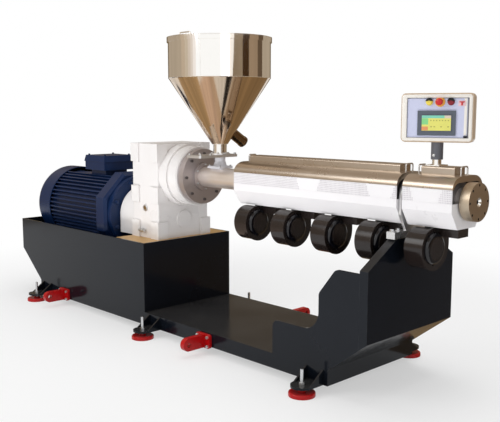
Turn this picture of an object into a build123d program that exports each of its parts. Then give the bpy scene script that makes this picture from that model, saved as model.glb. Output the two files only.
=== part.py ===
"""Single screw plastic extruder on a plate base, with hopper, covered barrel, blowers and control panel.

Frame: +X runs along the machine to the die, -Y is the operator's side, +Z is up.
The origin lies on the floor, midway along the machine.
"""
import os
from math import acos, cos, degrees, radians, sin

from build123d import *

# General fits
fit_gap = 0.3
cut_overrun = 5.0

# Heights: the motor box and deck above the floor, then the motor's axis and the barrel's axis
seat_height = 580.0
deck_height = 128.0
shaft_rise = 120.0
centre_distance = 300.0

# Lengths along the machine, in order from the rear end of the base to the die face
motor_setback = 89.0
cowl_length = 170.0
motor_frame_length = 680.0
shield_length = 110.0
motor_flange_thickness = 40.0
lantern_length = 200.0
gearbox_length = 295.0
boss_length = 65.0
boss_ring_length = 88.0
barrel_flange_thickness = 50.0
throat_setback = 157.0
cover_setback = 275.0
long_cover_length = 1171.0
cover_gap = 32.0
short_cover_length = 275.0
cover_end_gap = 11.0
die_flange_thickness = 50.0

# Base: two cut side plates, a deck between them and closing plates at the ends
base_width = 742.0
plate_thickness = 12.0
rear_bevel_run = 268.0
rear_bevel_height = 348.0
box_front_margin = 35.0
front_bevel_run = 240.0
front_bevel_height = 311.0
toe_length = 323.0
toe_setback = 306.0
toe_rise = 188.0
toe_round = 40.0
waist_round = 100.0
waist_rise = 199.0
crown_run = 108.0
crown_drop = 16.0
crown_round = 40.0
bed_plate_length = 323.0
bed_plate_thickness = 25.0
motor_beam_width = 110.0
motor_beam_height = 60.0

# End frame under the barrel support
end_frame_depth = 50.0
end_frame_drop = 200.0
shoulder_drop = 132.0
end_frame_top_width = 292.0

# Feet: six brackets with a stud and a round pad
foot_rear_inset = 101.0
foot_front_inset = 88.0
foot_reach = 94.0
bracket_width = 120.0
bracket_thickness = 12.0
gusset_thickness = 10.0
gusset_height = 68.0
stud_diameter = 18.0
stud_rise = 81.0
nut_width = 27.0
nut_height = 13.0
pad_diameter = 140.0
pad_height = 22.0
pad_round = 8.0
pad_hub_diameter = 44.0
pad_hub_height = 8.0
foot_gap = 2.0

# Lifting lugs on both side plates
lug_rear_inset = 361.0
lug_front_inset = 948.0
lug_rise = 33.0
lug_flange_width = 120.0
lug_flange_height = 84.0
lug_flange_thickness = 18.0
lug_flange_round = 14.0
lug_reach = 174.0
lug_depth = 76.0
lug_thickness = 34.0
lug_hole_diameter = 30.0

# Drive motor
motor_radius = 280.0
fin_height = 28.0
fin_thickness = 9.0
fin_pitch_angle = 6.5
fin_clear_angle = 24.0
motor_foot_width = 90.0
motor_foot_length = 110.0
motor_foot_thickness = 24.0
motor_foot_spread = 400.0
motor_foot_inset = 110.0
cowl_wall = 6.0
cowl_lap = 24.0
cowl_round = 45.0
shield_width = 570.0
shield_chamfer = 18.0
motor_flange_radius = 262.0
terminal_setback = 124.0
terminal_length = 256.0
terminal_width = 255.0
terminal_clearance = 8.0
terminal_body_height = 62.0
terminal_lid_height = 46.0
terminal_lid_overhang = 6.0
terminal_lid_taper = 12.0
terminal_neck_inset = 34.0

# Coupling housing between motor and gearbox
lantern_radius = 200.0
lantern_round = 35.0

# Reduction gearbox
gearbox_width = 450.0
gearbox_margin = 210.0
gearbox_round = 10.0
pad_proud = 12.0
pad_width = 84.0
pad_top_band = 122.0
pad_middle_band = 109.0
pad_bottom_band = 114.0
pad_middle_height = 237.0
boss_radius = 205.0
boss_ring_radius = 195.0
boss_chamfer = 8.0
shaft_cover_radius = 60.0
shaft_cover_thickness = 9.0

# Barrel, its flange and heater shells
barrel_radius = 65.0
barrel_flange_radius = 178.0
barrel_hub_radius = 92.0
barrel_hub_length = 16.0
heater_radius = 90.0
heater_gap = 100.0
heater_end_gap = 30.0

# Feed throat and hopper
throat_base_length = 116.0
throat_base_width = 110.0
throat_base_thickness = 12.0
throat_plate_thickness = 14.0
throat_saddle_width = 64.0
throat_radius = 34.0
throat_height = 58.0
throat_flare = 10.0
gate_width = 133.0
gate_reach = 221.0
gate_back = 95.0
gate_thickness = 16.0
gate_round = 14.0
sheet = 3.0
neck_radius = 43.0
neck_height = 64.0
cone_foot_radius = 50.0
cone_height = 409.0
hopper_radius = 320.0
hopper_wall_height = 242.0
rim_height = 25.0
rim_width = 7.0
drain_radius = 35.0
drain_angle = 32.0
drain_height_in_cone = 72.0
drain_length = 108.0
drain_cap_length = 16.0
drain_cap_lip = 2.0

# Hopper lid with its hinge at the far rim
lid_gap = 0.5
lid_thickness = 5.0
hinge_offset = 16.0
hinge_pin_diameter = 9.0
knuckle_diameter = 20.0
knuckle_length = 56.0
hinge_side_gap = 1.0
ear_thickness = 8.0
lid_handle_span = 100.0
lid_handle_rise = 21.0
lid_handle_rod = 8.0
lid_handle_round = 12.0
lid_handle_inset = 52.0

# Barrel covers
cover_width = 270.0
cover_drop = 130.0
cover_chamfer_height = 83.0
cover_chamfer_run = 55.0
vent_drop = 5.0
hood_seat_rise = 61.0
hood_rise = 61.0
hood_flat_width = 104.0
hood_lip = 30.0
hood_lip_round = 58.0
ridge_width = 92.0
ridge_height = 38.0
ridge_round = 10.0
ridge_setback = 46.0
cover_handle_setback = 22.0
cover_handle_span = 58.0
cover_handle_rise = 44.0
cover_handle_rod = 8.0
cover_handle_round = 10.0

# Barrel support on the end frame
support_thickness = 15.0
support_clearance = 2.0
support_foot_width = 330.0
support_foot_height = 35.0
support_neck_width = 140.0
support_width = 236.0
support_waist_rise = 82.0

# Cooling blowers under the covers
blower_count = 5
blower_setback = 45.0
blower_axis_y = -80.0
scroll_gap = 7.0
scroll_radius = 95.0
scroll_growth = 12.0
scroll_width = 105.0
seam_lip = 4.0
seam_width = 10.0
tongue_share = 0.842
inlet_radius = 60.0
inlet_lip = 8.0
inlet_lip_height = 9.0
inlet_depth = 34.0
hub_radius = 26.0
hub_length = 20.0
blower_motor_radius = 52.0
blower_motor_length = 30.0
outlet_drop = 20.0
plenum_setback = 45.0
plenum_gap = 86.0
plenum_width = 90.0
plenum_height = 46.0
plenum_relief = 5.0

# Die flange
die_bolt_count = 8
die_bolt_circle = 160.0
die_edge = 12.5
die_bolt_diameter = 13.0
die_bolt_depth = 35.0
melt_bore = 45.0
melt_depth = 60.0

# Control panel on a swivelling post
panel_setback = 102.0
panel_turn = 21.0
socket_flange_width = 78.0
socket_flange_thickness = 5.0
socket_radius = 22.0
socket_rise = 25.0
spigot_length = 42.0
post_radius = 29.0
post_length = 83.0
case_width = 345.0
case_height = 234.0
case_depth = 70.0
case_round = 22.0
case_edge_round = 6.0
face_margin = 17.0
face_thickness = 2.0
bezel_width = 180.0
bezel_height = 118.0
bezel_thickness = 6.0
bezel_margin = 16.0
button_margin = 25.0
button_pitch = 51.0
button_row_offset = 15.0
button_radius = 12.0
button_height = 9.0
stop_ring_radius = 22.0
stop_ring_height = 4.0
stop_radius = 18.0
stop_height = 24.0
stop_head_height = 11.0

# Heights that follow
frame_bottom = pad_height + pad_hub_height + foot_gap + nut_height
motor_axis_height = seat_height + shaft_rise
axis_height = motor_axis_height + centre_distance
gearbox_top = axis_height + gearbox_margin
cover_bottom = axis_height - cover_drop
vent_bottom = axis_height - vent_drop
hood_bottom = axis_height + hood_seat_rise
hood_top = hood_bottom + hood_rise
end_frame_top = axis_height - end_frame_drop
shoulder_height = end_frame_top - shoulder_drop
crown_height = shoulder_height - crown_drop
toe_height = deck_height + toe_rise
waist_height = toe_height + waist_rise
lug_height = frame_bottom + lug_rise
stud_top = frame_bottom + bracket_thickness + stud_rise

# Stations along X that follow from the lengths
barrel_length = (throat_setback + cover_setback + long_cover_length + cover_gap
                 + short_cover_length + cover_end_gap)
motor_length = cowl_length + motor_frame_length + shield_length + motor_flange_thickness
overall_length = (motor_setback + motor_length + lantern_length + gearbox_length + boss_length
                  + boss_ring_length + barrel_flange_thickness + barrel_length + die_flange_thickness)
rear_x = -overall_length / 2
cowl_x = rear_x + motor_setback
motor_frame_x = cowl_x + cowl_length
shield_x = motor_frame_x + motor_frame_length
motor_flange_x = shield_x + shield_length
lantern_x = motor_flange_x + motor_flange_thickness
gearbox_x = lantern_x + lantern_length
gearbox_front_x = gearbox_x + gearbox_length
boss_ring_x = gearbox_front_x + boss_length
barrel_flange_x = boss_ring_x + boss_ring_length
barrel_x = barrel_flange_x + barrel_flange_thickness
throat_x = barrel_x + throat_setback
long_cover_x = throat_x + cover_setback
long_cover_end_x = long_cover_x + long_cover_length
short_cover_x = long_cover_end_x + cover_gap
short_cover_end_x = short_cover_x + short_cover_length
die_x = short_cover_end_x + cover_end_gap
die_face_x = die_x + die_flange_thickness

# Stations of the base
half_base = base_width / 2
inner_half = half_base - plate_thickness
box_front_x = gearbox_front_x + box_front_margin
rear_toe_x = rear_x + rear_bevel_run
front_x = long_cover_end_x + support_clearance + support_thickness
front_toe_x = front_x - front_bevel_run
end_frame_x = front_x - end_frame_depth
waist_x = front_x - toe_setback
toe_x = waist_x - toe_length
crown_x = waist_x + crown_run
front_slope = (front_bevel_height - deck_height) / front_bevel_run
end_frame_foot = front_bevel_height - end_frame_depth * front_slope

# Stations of the hopper, covers, blowers and panel
gate_bottom = axis_height + barrel_radius + throat_base_thickness + throat_height
gate_top = gate_bottom + gate_thickness
cone_foot = gate_top + neck_height
cone_top = cone_foot + cone_height
hopper_top = cone_top + hopper_wall_height
rim_radius = hopper_radius + rim_width
lid_bottom = hopper_top + lid_gap
lid_top = lid_bottom + lid_thickness
hinge_y = rim_radius + hinge_offset
hinge_height = lid_top + knuckle_diameter / 2
half_cover = cover_width / 2
ridge_top = hood_top + ridge_height
blower_x = long_cover_x + blower_setback
blower_pitch = (long_cover_length + cover_gap) / (blower_count - 1)
blower_axis_height = cover_bottom - scroll_gap - scroll_radius
tongue_offset = scroll_radius * tongue_share
panel_x = short_cover_x + panel_setback
post_bottom = ridge_top + socket_flange_thickness + socket_rise
case_bottom = post_bottom + post_length
case_middle = case_bottom + case_height / 2
face_width = case_width - 2 * face_margin
face_height = case_height - 2 * face_margin


def along(face, x_from, x_to):
    """Extrude a face drawn in Y and Z from one X station to another."""
    return Pos(x_from, 0, 0) * extrude(Plane.YZ * face, amount=x_to - x_from)


def across(face, y_from, y_to):
    """Extrude a face drawn in X and Z from one Y station to another."""
    return Pos(0, y_to, 0) * extrude(Plane.XZ * face, amount=y_to - y_from)


def block(x_from, x_to, y_from, y_to, z_from, z_to):
    """Box between two corners."""
    size = (x_to - x_from, y_to - y_from, z_to - z_from)
    middle = Pos((x_from + x_to) / 2, (y_from + y_to) / 2, (z_from + z_to) / 2)
    return middle * Box(*size)


def disc(radius, x_from, x_to, y=0.0, z=axis_height):
    """Round bar along X."""
    return along(Pos(y, z) * Circle(radius), x_from, x_to)


def upright(radius, x, y, z_from, z_to):
    """Round bar along Z."""
    return Pos(x, y, z_from) * extrude(Circle(radius), amount=z_to - z_from)


def outline(*points, radii=None):
    """Closed face through the points, with a round of the given radius at each corner."""
    if radii is None:
        return make_face(Polyline(*points, close=True))
    return make_face(FilletPolyline(*points, radius=radii, close=True))


def strip(points, thickness):
    """Face of a bent plate: the path and its mitred offset to the left."""
    path = [Vector(*point) for point in points]
    normals = []
    for start, end in zip(path, path[1:]):
        step = (end - start).normalized()
        normals.append(Vector(-step.Y, step.X))
    joints = [normals[0]]
    for before, after in zip(normals, normals[1:]):
        joints.append((before + after) * (1 / (1 + before.dot(after))))
    joints.append(normals[-1])
    inside = [point + joint * thickness for point, joint in zip(path, joints)]
    return outline(*path, *reversed(inside))


def on_both_sides(shape):
    """The shape and its mirror image across the machine."""
    return Compound([shape, mirror(shape, about=Plane.XZ)])


def group(shapes):
    """Separate solids that share one node."""
    return Compound([solid for shape in shapes for solid in shape.solids()])


def side_plate(y_from, y_to):
    """Cut side plate: motor box at the rear, low deck, and the front stand with its toe."""
    corners = [
        ((rear_x, seat_height), 0),
        ((rear_x, rear_bevel_height), 0),
        ((rear_toe_x, deck_height), 0),
        ((rear_toe_x, frame_bottom), 0),
        ((front_toe_x, frame_bottom), 0),
        ((front_toe_x, deck_height), 0),
        ((end_frame_x, end_frame_foot), 0),
        ((end_frame_x, crown_height), 0),
        ((crown_x, crown_height), crown_round),
        ((waist_x, waist_height), crown_round),
        ((waist_x, toe_height), waist_round),
        ((toe_x, toe_height), toe_round),
        ((toe_x, deck_height), 0),
        ((box_front_x, deck_height), 0),
        ((box_front_x, seat_height), 0),
    ]
    face = outline(*[point for point, _ in corners], radii=[radius for _, radius in corners])
    return across(face, y_from, y_to)


def deck_plate():
    """Flat deck between the side plates, from end to end."""
    rear = rear_toe_x + plate_thickness
    front = front_toe_x - plate_thickness
    return block(rear, front, -inner_half, inner_half, deck_height - plate_thickness, deck_height)


def rear_end_plate():
    """Bent plate that closes the rear of the motor box."""
    path = [(rear_toe_x, frame_bottom), (rear_toe_x, deck_height), (rear_x, rear_bevel_height),
            (rear_x, seat_height)]
    return across(strip(path, -plate_thickness), -inner_half, inner_half)


def front_skirt():
    """Bent plate under the front stand, up to the end frame."""
    back = front_x - plate_thickness
    top = front_bevel_height - plate_thickness * front_slope
    path = [(front_toe_x, frame_bottom), (front_toe_x, deck_height), (back, top)]
    plate = across(strip(path, plate_thickness), -inner_half, inner_half)
    return plate & block(rear_x, back, -half_base, half_base, frame_bottom, crown_height)


def box_front_plate():
    """Front wall of the motor box."""
    back = box_front_x - plate_thickness
    return block(back, box_front_x, -inner_half, inner_half, deck_height, seat_height)


def gearbox_bed_plate():
    """Machined plate that carries the gearbox, flush with the top of the motor box."""
    front = box_front_x - plate_thickness
    bottom = seat_height - bed_plate_thickness
    return block(front - bed_plate_length, front, -inner_half, inner_half, bottom, seat_height)


def motor_beam_stations():
    """X stations of the two beams under the motor feet."""
    return (motor_frame_x + motor_foot_inset, shield_x - motor_foot_inset)


def motor_beams():
    """Two cross beams between the side plates, under the motor feet."""
    top = motor_axis_height - motor_radius
    beams = []
    for x in motor_beam_stations():
        half = motor_beam_width / 2
        beams.append(block(x - half, x + half, -inner_half, inner_half, top - motor_beam_height, top))
    return group(beams)


def end_frame():
    """Flanged front plate with sloping shoulders under the barrel support."""
    half_top = end_frame_top_width / 2

    def shield(inset, bottom):
        """Outline of the plate, drawn in by an inset."""
        side = half_base - inset
        shoulder = shoulder_height - inset
        top_side = half_top - inset
        top = end_frame_top - inset
        return outline((-side, bottom), (side, bottom), (side, shoulder), (top_side, top),
                       (-top_side, top), (-side, shoulder))

    outer = along(shield(0, end_frame_foot), end_frame_x, front_x)
    hollow = along(shield(plate_thickness, end_frame_foot - cut_overrun), end_frame_x - cut_overrun,
                   front_x - plate_thickness)
    wedge = outline((end_frame_x, end_frame_foot), (front_x, front_bevel_height), (front_x, end_frame_foot))
    return outer - hollow - across(wedge, -half_base, half_base)


def foot_places():
    """X and Y of the feet on the near side, rear to front."""
    rear = rear_toe_x + foot_rear_inset
    front = front_toe_x - foot_front_inset
    y = -half_base - foot_reach
    return [(rear, y), ((rear + front) / 2, y), (front, y)]


def foot_brackets():
    """Rounded shelf and two gussets for each foot, on the outside of the side plates."""
    hole = stud_diameter / 2 + fit_gap
    half = bracket_width / 2
    top = frame_bottom + bracket_thickness
    brackets = []
    for x, y in foot_places():
        shelf = Pos(x, (y - half_base) / 2) * Rectangle(bracket_width, -half_base - y)
        shelf += Pos(x, y) * Circle(half)
        shelf -= Pos(x, y) * Circle(hole)
        bracket = Pos(0, 0, frame_bottom) * extrude(shelf, amount=bracket_thickness)
        rib = outline((-half_base, top), (-half_base, top + gusset_height), (y, top))
        for side in (-half, half - gusset_thickness):
            bracket += along(rib, x + side, x + side + gusset_thickness)
        brackets.append(on_both_sides(bracket))
    return group(brackets)


def foot_studs():
    """Threaded stud of each foot with a nut over and under the shelf."""
    studs = []
    seat = pad_height + pad_hub_height
    shelf_top = frame_bottom + bracket_thickness
    nut = RegularPolygon(nut_width / 2, side_count=6, major_radius=False)
    for x, y in foot_places():
        stud = upright(stud_diameter / 2, x, y, seat, stud_top)
        for z in (frame_bottom - nut_height, shelf_top):
            stud += Pos(x, y, z) * extrude(nut, amount=nut_height)
        studs.append(on_both_sides(stud))
    return group(studs)


def foot_pads():
    """Round levelling pads on the floor."""
    pads = []
    for x, y in foot_places():
        pad = upright(pad_diameter / 2, x, y, 0, pad_height)
        pad = fillet(pad.edges().group_by(Axis.Z)[-1], pad_round)
        pad += upright(pad_hub_diameter / 2, x, y, pad_height, pad_height + pad_hub_height)
        pads.append(on_both_sides(pad))
    return group(pads)


def lifting_lugs():
    """Bolted lugs with a rounded end and a cross hole, two on each side plate."""
    lugs = []
    face_y = -half_base - lug_flange_thickness
    hole_y = -half_base - lug_reach + lug_depth / 2
    for x in (rear_toe_x + lug_rear_inset, front_toe_x - lug_front_inset):
        flange = RectangleRounded(lug_flange_width, lug_flange_height, lug_flange_round)
        lug = across(Pos(x, lug_height) * flange, face_y, -half_base)
        blade = Pos((face_y + hole_y) / 2, lug_height) * Rectangle(face_y - hole_y, lug_depth)
        blade += Pos(hole_y, lug_height) * Circle(lug_depth / 2)
        blade -= Pos(hole_y, lug_height) * Circle(lug_hole_diameter / 2)
        lug += along(blade, x - lug_thickness / 2, x + lug_thickness / 2)
        lugs.append(on_both_sides(lug))
    return group(lugs)


def motor_frame():
    """Finned motor frame with four feet on the beams."""
    core = motor_radius - fin_height
    section = Circle(core)
    steps = int((180 - 2 * fin_clear_angle) / fin_pitch_angle)
    fin = Pos(motor_radius - (fin_height + fin_thickness) / 2)
    fin *= Rectangle(fin_height + fin_thickness, fin_thickness)
    for side in (0, 180):
        for step in range(steps + 1):
            angle = side - steps * fin_pitch_angle / 2 + step * fin_pitch_angle
            section += Rot(0, 0, angle) * fin
    frame = along(Pos(0, motor_axis_height) * section, motor_frame_x, shield_x)
    base = motor_axis_height - motor_radius
    half_length = motor_foot_length / 2
    outer = (motor_foot_spread + motor_foot_width) / 2
    inner = (motor_foot_spread - motor_foot_width) / 2
    spread = radians(fin_clear_angle)
    shoulder = (core * cos(spread), motor_axis_height - core * sin(spread))
    for x in motor_beam_stations():
        foot = block(x - half_length, x + half_length, inner, outer, base, base + motor_foot_thickness)
        leg = outline((inner, base), (outer, base), shoulder, (inner, motor_axis_height))
        foot += along(leg, x - half_length / 2, x + half_length / 2)
        frame += foot
        frame += mirror(foot, about=Plane.XZ)
    return frame


def motor_fan_cowl():
    """Dished fan cowl at the rear of the motor, lapping over the ends of the fins."""
    inside = motor_radius + fit_gap
    front = motor_frame_x + cowl_lap
    cowl = disc(inside + cowl_wall, cowl_x, front, z=motor_axis_height)
    cowl = fillet(cowl.edges().group_by(Axis.X)[0], cowl_round)
    hollow = disc(inside, cowl_x + cowl_wall, front + cut_overrun, z=motor_axis_height)
    hollow = fillet(hollow.edges().group_by(Axis.X)[0], cowl_round - cowl_wall)
    return cowl - hollow


def motor_end_shield():
    """Eight-sided drive end shield with its round mounting flange."""
    octagon = RegularPolygon(shield_width / 2, side_count=8, major_radius=False, rotation=180 / 8)
    shield = along(Pos(0, motor_axis_height) * octagon, shield_x, motor_flange_x)
    shield = chamfer(shield.faces().sort_by(Axis.X)[-1].edges(), shield_chamfer)
    return shield + disc(motor_flange_radius, motor_flange_x, lantern_x, z=motor_axis_height)


def motor_terminal_box():
    """Terminal box with a tapered lid on a saddle on top of the motor."""
    front = shield_x - terminal_setback
    middle = front - terminal_length / 2
    bottom = motor_axis_height + motor_radius + terminal_clearance
    lid_bottom_z = bottom + terminal_body_height
    body = Rectangle(terminal_length, terminal_width)
    lid = Rectangle(terminal_length + 2 * terminal_lid_overhang, terminal_width + 2 * terminal_lid_overhang)
    box = Pos(middle, 0, bottom) * extrude(body, amount=terminal_body_height)
    box += Pos(middle, 0, lid_bottom_z) * extrude(lid, amount=terminal_lid_height, taper=terminal_lid_taper)
    neck = block(front - terminal_length + terminal_neck_inset, front - terminal_neck_inset,
                 terminal_neck_inset - terminal_width / 2, terminal_width / 2 - terminal_neck_inset,
                 motor_axis_height, bottom)
    core = motor_radius - fin_height + fit_gap
    neck -= disc(core, motor_frame_x, shield_x, z=motor_axis_height)
    return box + neck


def lantern_housing():
    """Arched coupling housing between motor and gearbox."""
    arch = Pos(0, motor_axis_height) * Circle(lantern_radius)
    arch += outline((-lantern_radius, seat_height), (lantern_radius, seat_height),
                    (lantern_radius, motor_axis_height), (-lantern_radius, motor_axis_height))
    floor = block(lantern_x, gearbox_x, -lantern_radius, lantern_radius,
                  motor_axis_height - lantern_radius, seat_height)
    housing = along(arch, lantern_x, gearbox_x) - floor
    crown = housing.edges().filter_by(GeomType.CIRCLE).sort_by(Axis.X)[0]
    return fillet(crown, lantern_round)


def gearbox_housing():
    """Cast gearbox with raised pads on its corners and the stepped thrust boss."""
    half = gearbox_width / 2
    body_half = half - pad_proud
    front = gearbox_front_x - pad_proud
    top = gearbox_top
    housing = block(gearbox_x, front, -body_half, body_half, seat_height, top)
    housing = fillet(housing.edges().filter_by(Axis.Z), gearbox_round)
    bands = [(seat_height, pad_bottom_band), (seat_height + pad_middle_height, pad_middle_band),
             (top - pad_top_band, pad_top_band)]
    for bottom, band in bands:
        for y in (-half, half - pad_width):
            for x in (gearbox_x, gearbox_front_x - pad_width):
                housing += block(x, x + pad_width, y, y + pad_width, bottom, bottom + band)
    boss = disc(boss_radius, front, boss_ring_x)
    ring = disc(boss_ring_radius, boss_ring_x, barrel_flange_x)
    ring = chamfer(ring.edges().group_by(Axis.X)[-1], boss_chamfer)
    return housing + boss + ring


def gearbox_shaft_cover():
    """Round blank cover in line with the input shaft."""
    face = gearbox_front_x - pad_proud
    return disc(shaft_cover_radius, face, face + shaft_cover_thickness, z=motor_axis_height)


def barrel_flange():
    """Barrel flange bolted to the gearbox, with a hub round the barrel."""
    flange = disc(barrel_flange_radius, barrel_flange_x, barrel_x)
    hub = disc(barrel_hub_radius, barrel_x, barrel_x + barrel_hub_length)
    return flange + hub - disc(barrel_radius + fit_gap, barrel_x, barrel_x + barrel_hub_length)


def barrel_tube():
    """Barrel with the melt channel open at the die end."""
    tube = disc(barrel_radius, barrel_x, die_x)
    return tube - disc(melt_bore / 2, die_x - melt_depth, die_x)


def blower_station(index):
    """X station of the back of one blower."""
    return blower_x + index * blower_pitch


def barrel_heaters():
    """Heater shells round the barrel, one over each blower."""
    shells = []
    for index in range(blower_count):
        start = blower_station(index)
        end = start + blower_pitch - heater_gap
        if index == blower_count - 1:
            end = short_cover_end_x - heater_end_gap
        shells.append(disc(heater_radius, start, end) - disc(barrel_radius + fit_gap, start, end))
    return group(shells)


def feed_throat():
    """Saddle with a flat plate and a flared collar on top of the barrel."""
    saddle_top = axis_height + barrel_radius + throat_base_thickness
    rear = throat_x - throat_base_length / 2
    front = throat_x + throat_base_length / 2
    half_width = throat_base_width / 2
    half_saddle = throat_saddle_width / 2
    saddle = block(rear, front, -half_saddle, half_saddle, axis_height + barrel_radius / 2, saddle_top)
    saddle += block(rear, front, -half_width, half_width, saddle_top - throat_plate_thickness, saddle_top)
    saddle -= disc(barrel_radius + fit_gap, rear, front)
    collar = upright(throat_radius, throat_x, 0, saddle_top, saddle_top + throat_height)
    foot = Cone(throat_radius + throat_flare, throat_radius, throat_height / 2,
                align=(Align.CENTER, Align.CENTER, Align.MIN))
    return saddle + collar + Pos(throat_x, 0, saddle_top) * foot


def gate_plate():
    """Slide gate housing between throat and hopper, long towards the operator."""
    plate = RectangleRounded(gate_width, gate_reach + gate_back, gate_round)
    return Pos(throat_x, (gate_back - gate_reach) / 2, gate_bottom) * extrude(plate, amount=gate_thickness)


def hopper_shell():
    """Sheet metal hopper: neck, cone and round wall, open at the top."""
    inner_neck = neck_radius - sheet
    inner_wall = hopper_radius - sheet
    inner_foot = cone_foot + sheet
    profile = outline((inner_neck, gate_top), (neck_radius, gate_top), (neck_radius, cone_foot),
                      (cone_foot_radius, cone_foot), (hopper_radius, cone_top), (hopper_radius, hopper_top),
                      (inner_wall, hopper_top), (inner_wall, cone_top),
                      (cone_foot_radius - sheet, inner_foot), (inner_neck, inner_foot))
    shell = revolve(Plane.XZ * profile, Axis.Z)
    return Pos(throat_x, 0, 0) * shell


def hopper_rim():
    """Rim band round the hopper's mouth, with two hinge ears and the hinge pin."""
    bottom = hopper_top - rim_height
    ring = Circle(rim_radius) - Circle(hopper_radius + fit_gap)
    rim = Pos(throat_x, 0, bottom) * extrude(ring, amount=rim_height)
    knuckle = knuckle_diameter / 2
    root = rim_radius - rim_width / 2
    inner = hinge_y - knuckle
    outer = hinge_y + knuckle
    ear = outline((root, bottom), (root, hopper_top), (inner, hopper_top), (inner, hinge_height),
                  (outer, hinge_height), (outer, hopper_top))
    ear += Pos(hinge_y, hinge_height) * Circle(knuckle)
    half = knuckle_length / 2 + hinge_side_gap
    for x in (throat_x - half - ear_thickness, throat_x + half):
        rim += along(ear, x, x + ear_thickness)
    return rim + disc(hinge_pin_diameter / 2, throat_x - half, throat_x + half, hinge_y, hinge_height)


def hopper_lid():
    """Flat round lid with the hinge knuckle behind it."""
    lid = upright(rim_radius, throat_x, 0, lid_bottom, lid_top)
    left = throat_x - knuckle_length / 2
    right = throat_x + knuckle_length / 2
    strap_y = rim_radius - lid_handle_inset
    strap = block(left, right, strap_y, hinge_y, lid_top, lid_top + lid_thickness)
    knuckle = disc(knuckle_diameter / 2, left, right, hinge_y, hinge_height)
    bore = disc(hinge_pin_diameter / 2 + fit_gap, left, right, hinge_y, hinge_height)
    return lid + strap + knuckle - bore


def rod_loop(span, rise, rod, corner):
    """Bent rod handle standing on Z zero, its span along X."""
    path = FilletPolyline((-span / 2, 0, 0), (-span / 2, 0, rise - rod / 2), (span / 2, 0, rise - rod / 2),
                          (span / 2, 0, 0), radius=corner)
    section = Plane(path @ 0, z_dir=path % 0) * Circle(rod / 2)
    return sweep(section, path=path)


def lid_handle():
    """Rod handle on the lid, opposite the hinge."""
    loop = rod_loop(lid_handle_span, lid_handle_rise, lid_handle_rod, lid_handle_round)
    return Pos(throat_x, lid_handle_inset - rim_radius, lid_top) * loop


def hopper_drain():
    """Sloping drain tube with a cap, on the far side of the cone."""
    slope = (hopper_radius - cone_foot_radius) / cone_height
    wall = cone_foot_radius + drain_height_in_cone * slope
    start = Pos(throat_x, wall, cone_foot + drain_height_in_cone) * Rot(-90 - drain_angle, 0, 0)
    tube = extrude(Circle(drain_radius), amount=drain_length)
    tube += Pos(0, 0, drain_length) * extrude(Circle(drain_radius + drain_cap_lip), amount=drain_cap_length)
    tube += Pos(0, 0, -drain_length) * extrude(Circle(drain_radius), amount=drain_length)
    cone = revolve(Plane.XZ * outline((0, cone_foot), (cone_foot_radius + fit_gap, cone_foot),
                                      (hopper_radius + fit_gap, cone_top), (0, cone_top)), Axis.Z)
    outside = start * tube - Pos(throat_x, 0, 0) * cone
    return outside.solids().sort_by(Axis.Y)[-1]


def trough_section():
    """Lower outline of a cover, drawn in Y and Z from the near side to the far side."""
    chamfer_top = cover_bottom + cover_chamfer_height
    chamfer_y = half_cover - cover_chamfer_run
    return [(-half_cover, hood_bottom), (-half_cover, chamfer_top), (-chamfer_y, cover_bottom),
            (chamfer_y, cover_bottom), (half_cover, chamfer_top), (half_cover, hood_bottom)]


def trough(x_from, x_to):
    """Lower half of a barrel cover, with a plate round the barrel at both ends."""
    section = trough_section()
    shell = along(strip(section, sheet), x_from, x_to)
    end = outline(*section) & outline((-half_cover, cover_bottom), (half_cover, cover_bottom),
                                      (half_cover, vent_bottom), (-half_cover, vent_bottom))
    end -= Pos(0, axis_height) * Circle(barrel_radius + fit_gap)
    for x in (x_from, x_to - sheet):
        shell += along(end, x, x + sheet)
    return shell


def hood_section(inset):
    """Upper outline of a cover with elliptical shoulders, drawn in by an inset."""
    flat = hood_flat_width / 2
    reach = half_cover - flat - inset
    rise = hood_top - hood_bottom - inset
    right = EllipticalCenterArc((flat, hood_bottom), reach, rise, 0, arc_size=90)
    left = EllipticalCenterArc((-flat, hood_bottom), reach, rise, 90, arc_size=90)
    return make_face([right, Line(right @ 1, left @ 0), left, Line(left @ 1, right @ 0)])


def hood(x_from, x_to):
    """Upper half of a barrel cover with its raised ridge and lipped open ends."""
    opening_top = hood_top - hood_lip
    half = half_cover - sheet
    shell = along(hood_section(0), x_from, x_to) - along(hood_section(sheet), x_from, x_to)
    mouth = outline((-half, hood_bottom - hood_lip_round), (half, hood_bottom - hood_lip_round),
                    (half, opening_top), (-half, opening_top), radii=[0, 0, hood_lip_round, hood_lip_round])
    lip = hood_section(0) - mouth
    for x in (x_from, x_to - sheet):
        shell += along(lip, x, x + sheet)
    ridge = block(x_from + ridge_setback, x_to - ridge_setback, -ridge_width / 2, ridge_width / 2,
                  hood_top - sheet, ridge_top)
    ridge = fillet(ridge.faces().sort_by(Axis.Z)[-1].edges().filter_by(Axis.X), ridge_round)
    return shell + ridge


def hood_handles():
    """Rod handles across both ends of each hood."""
    loop = rod_loop(cover_handle_span, cover_handle_rise, cover_handle_rod, cover_handle_round)
    loop = Rot(0, 0, 90) * loop
    stations = []
    for x_from, x_to in ((long_cover_x, long_cover_end_x), (short_cover_x, short_cover_end_x)):
        stations += [x_from + cover_handle_setback, x_to - cover_handle_setback]
    return group([Pos(x, 0, hood_top) * loop for x in stations])


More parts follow.
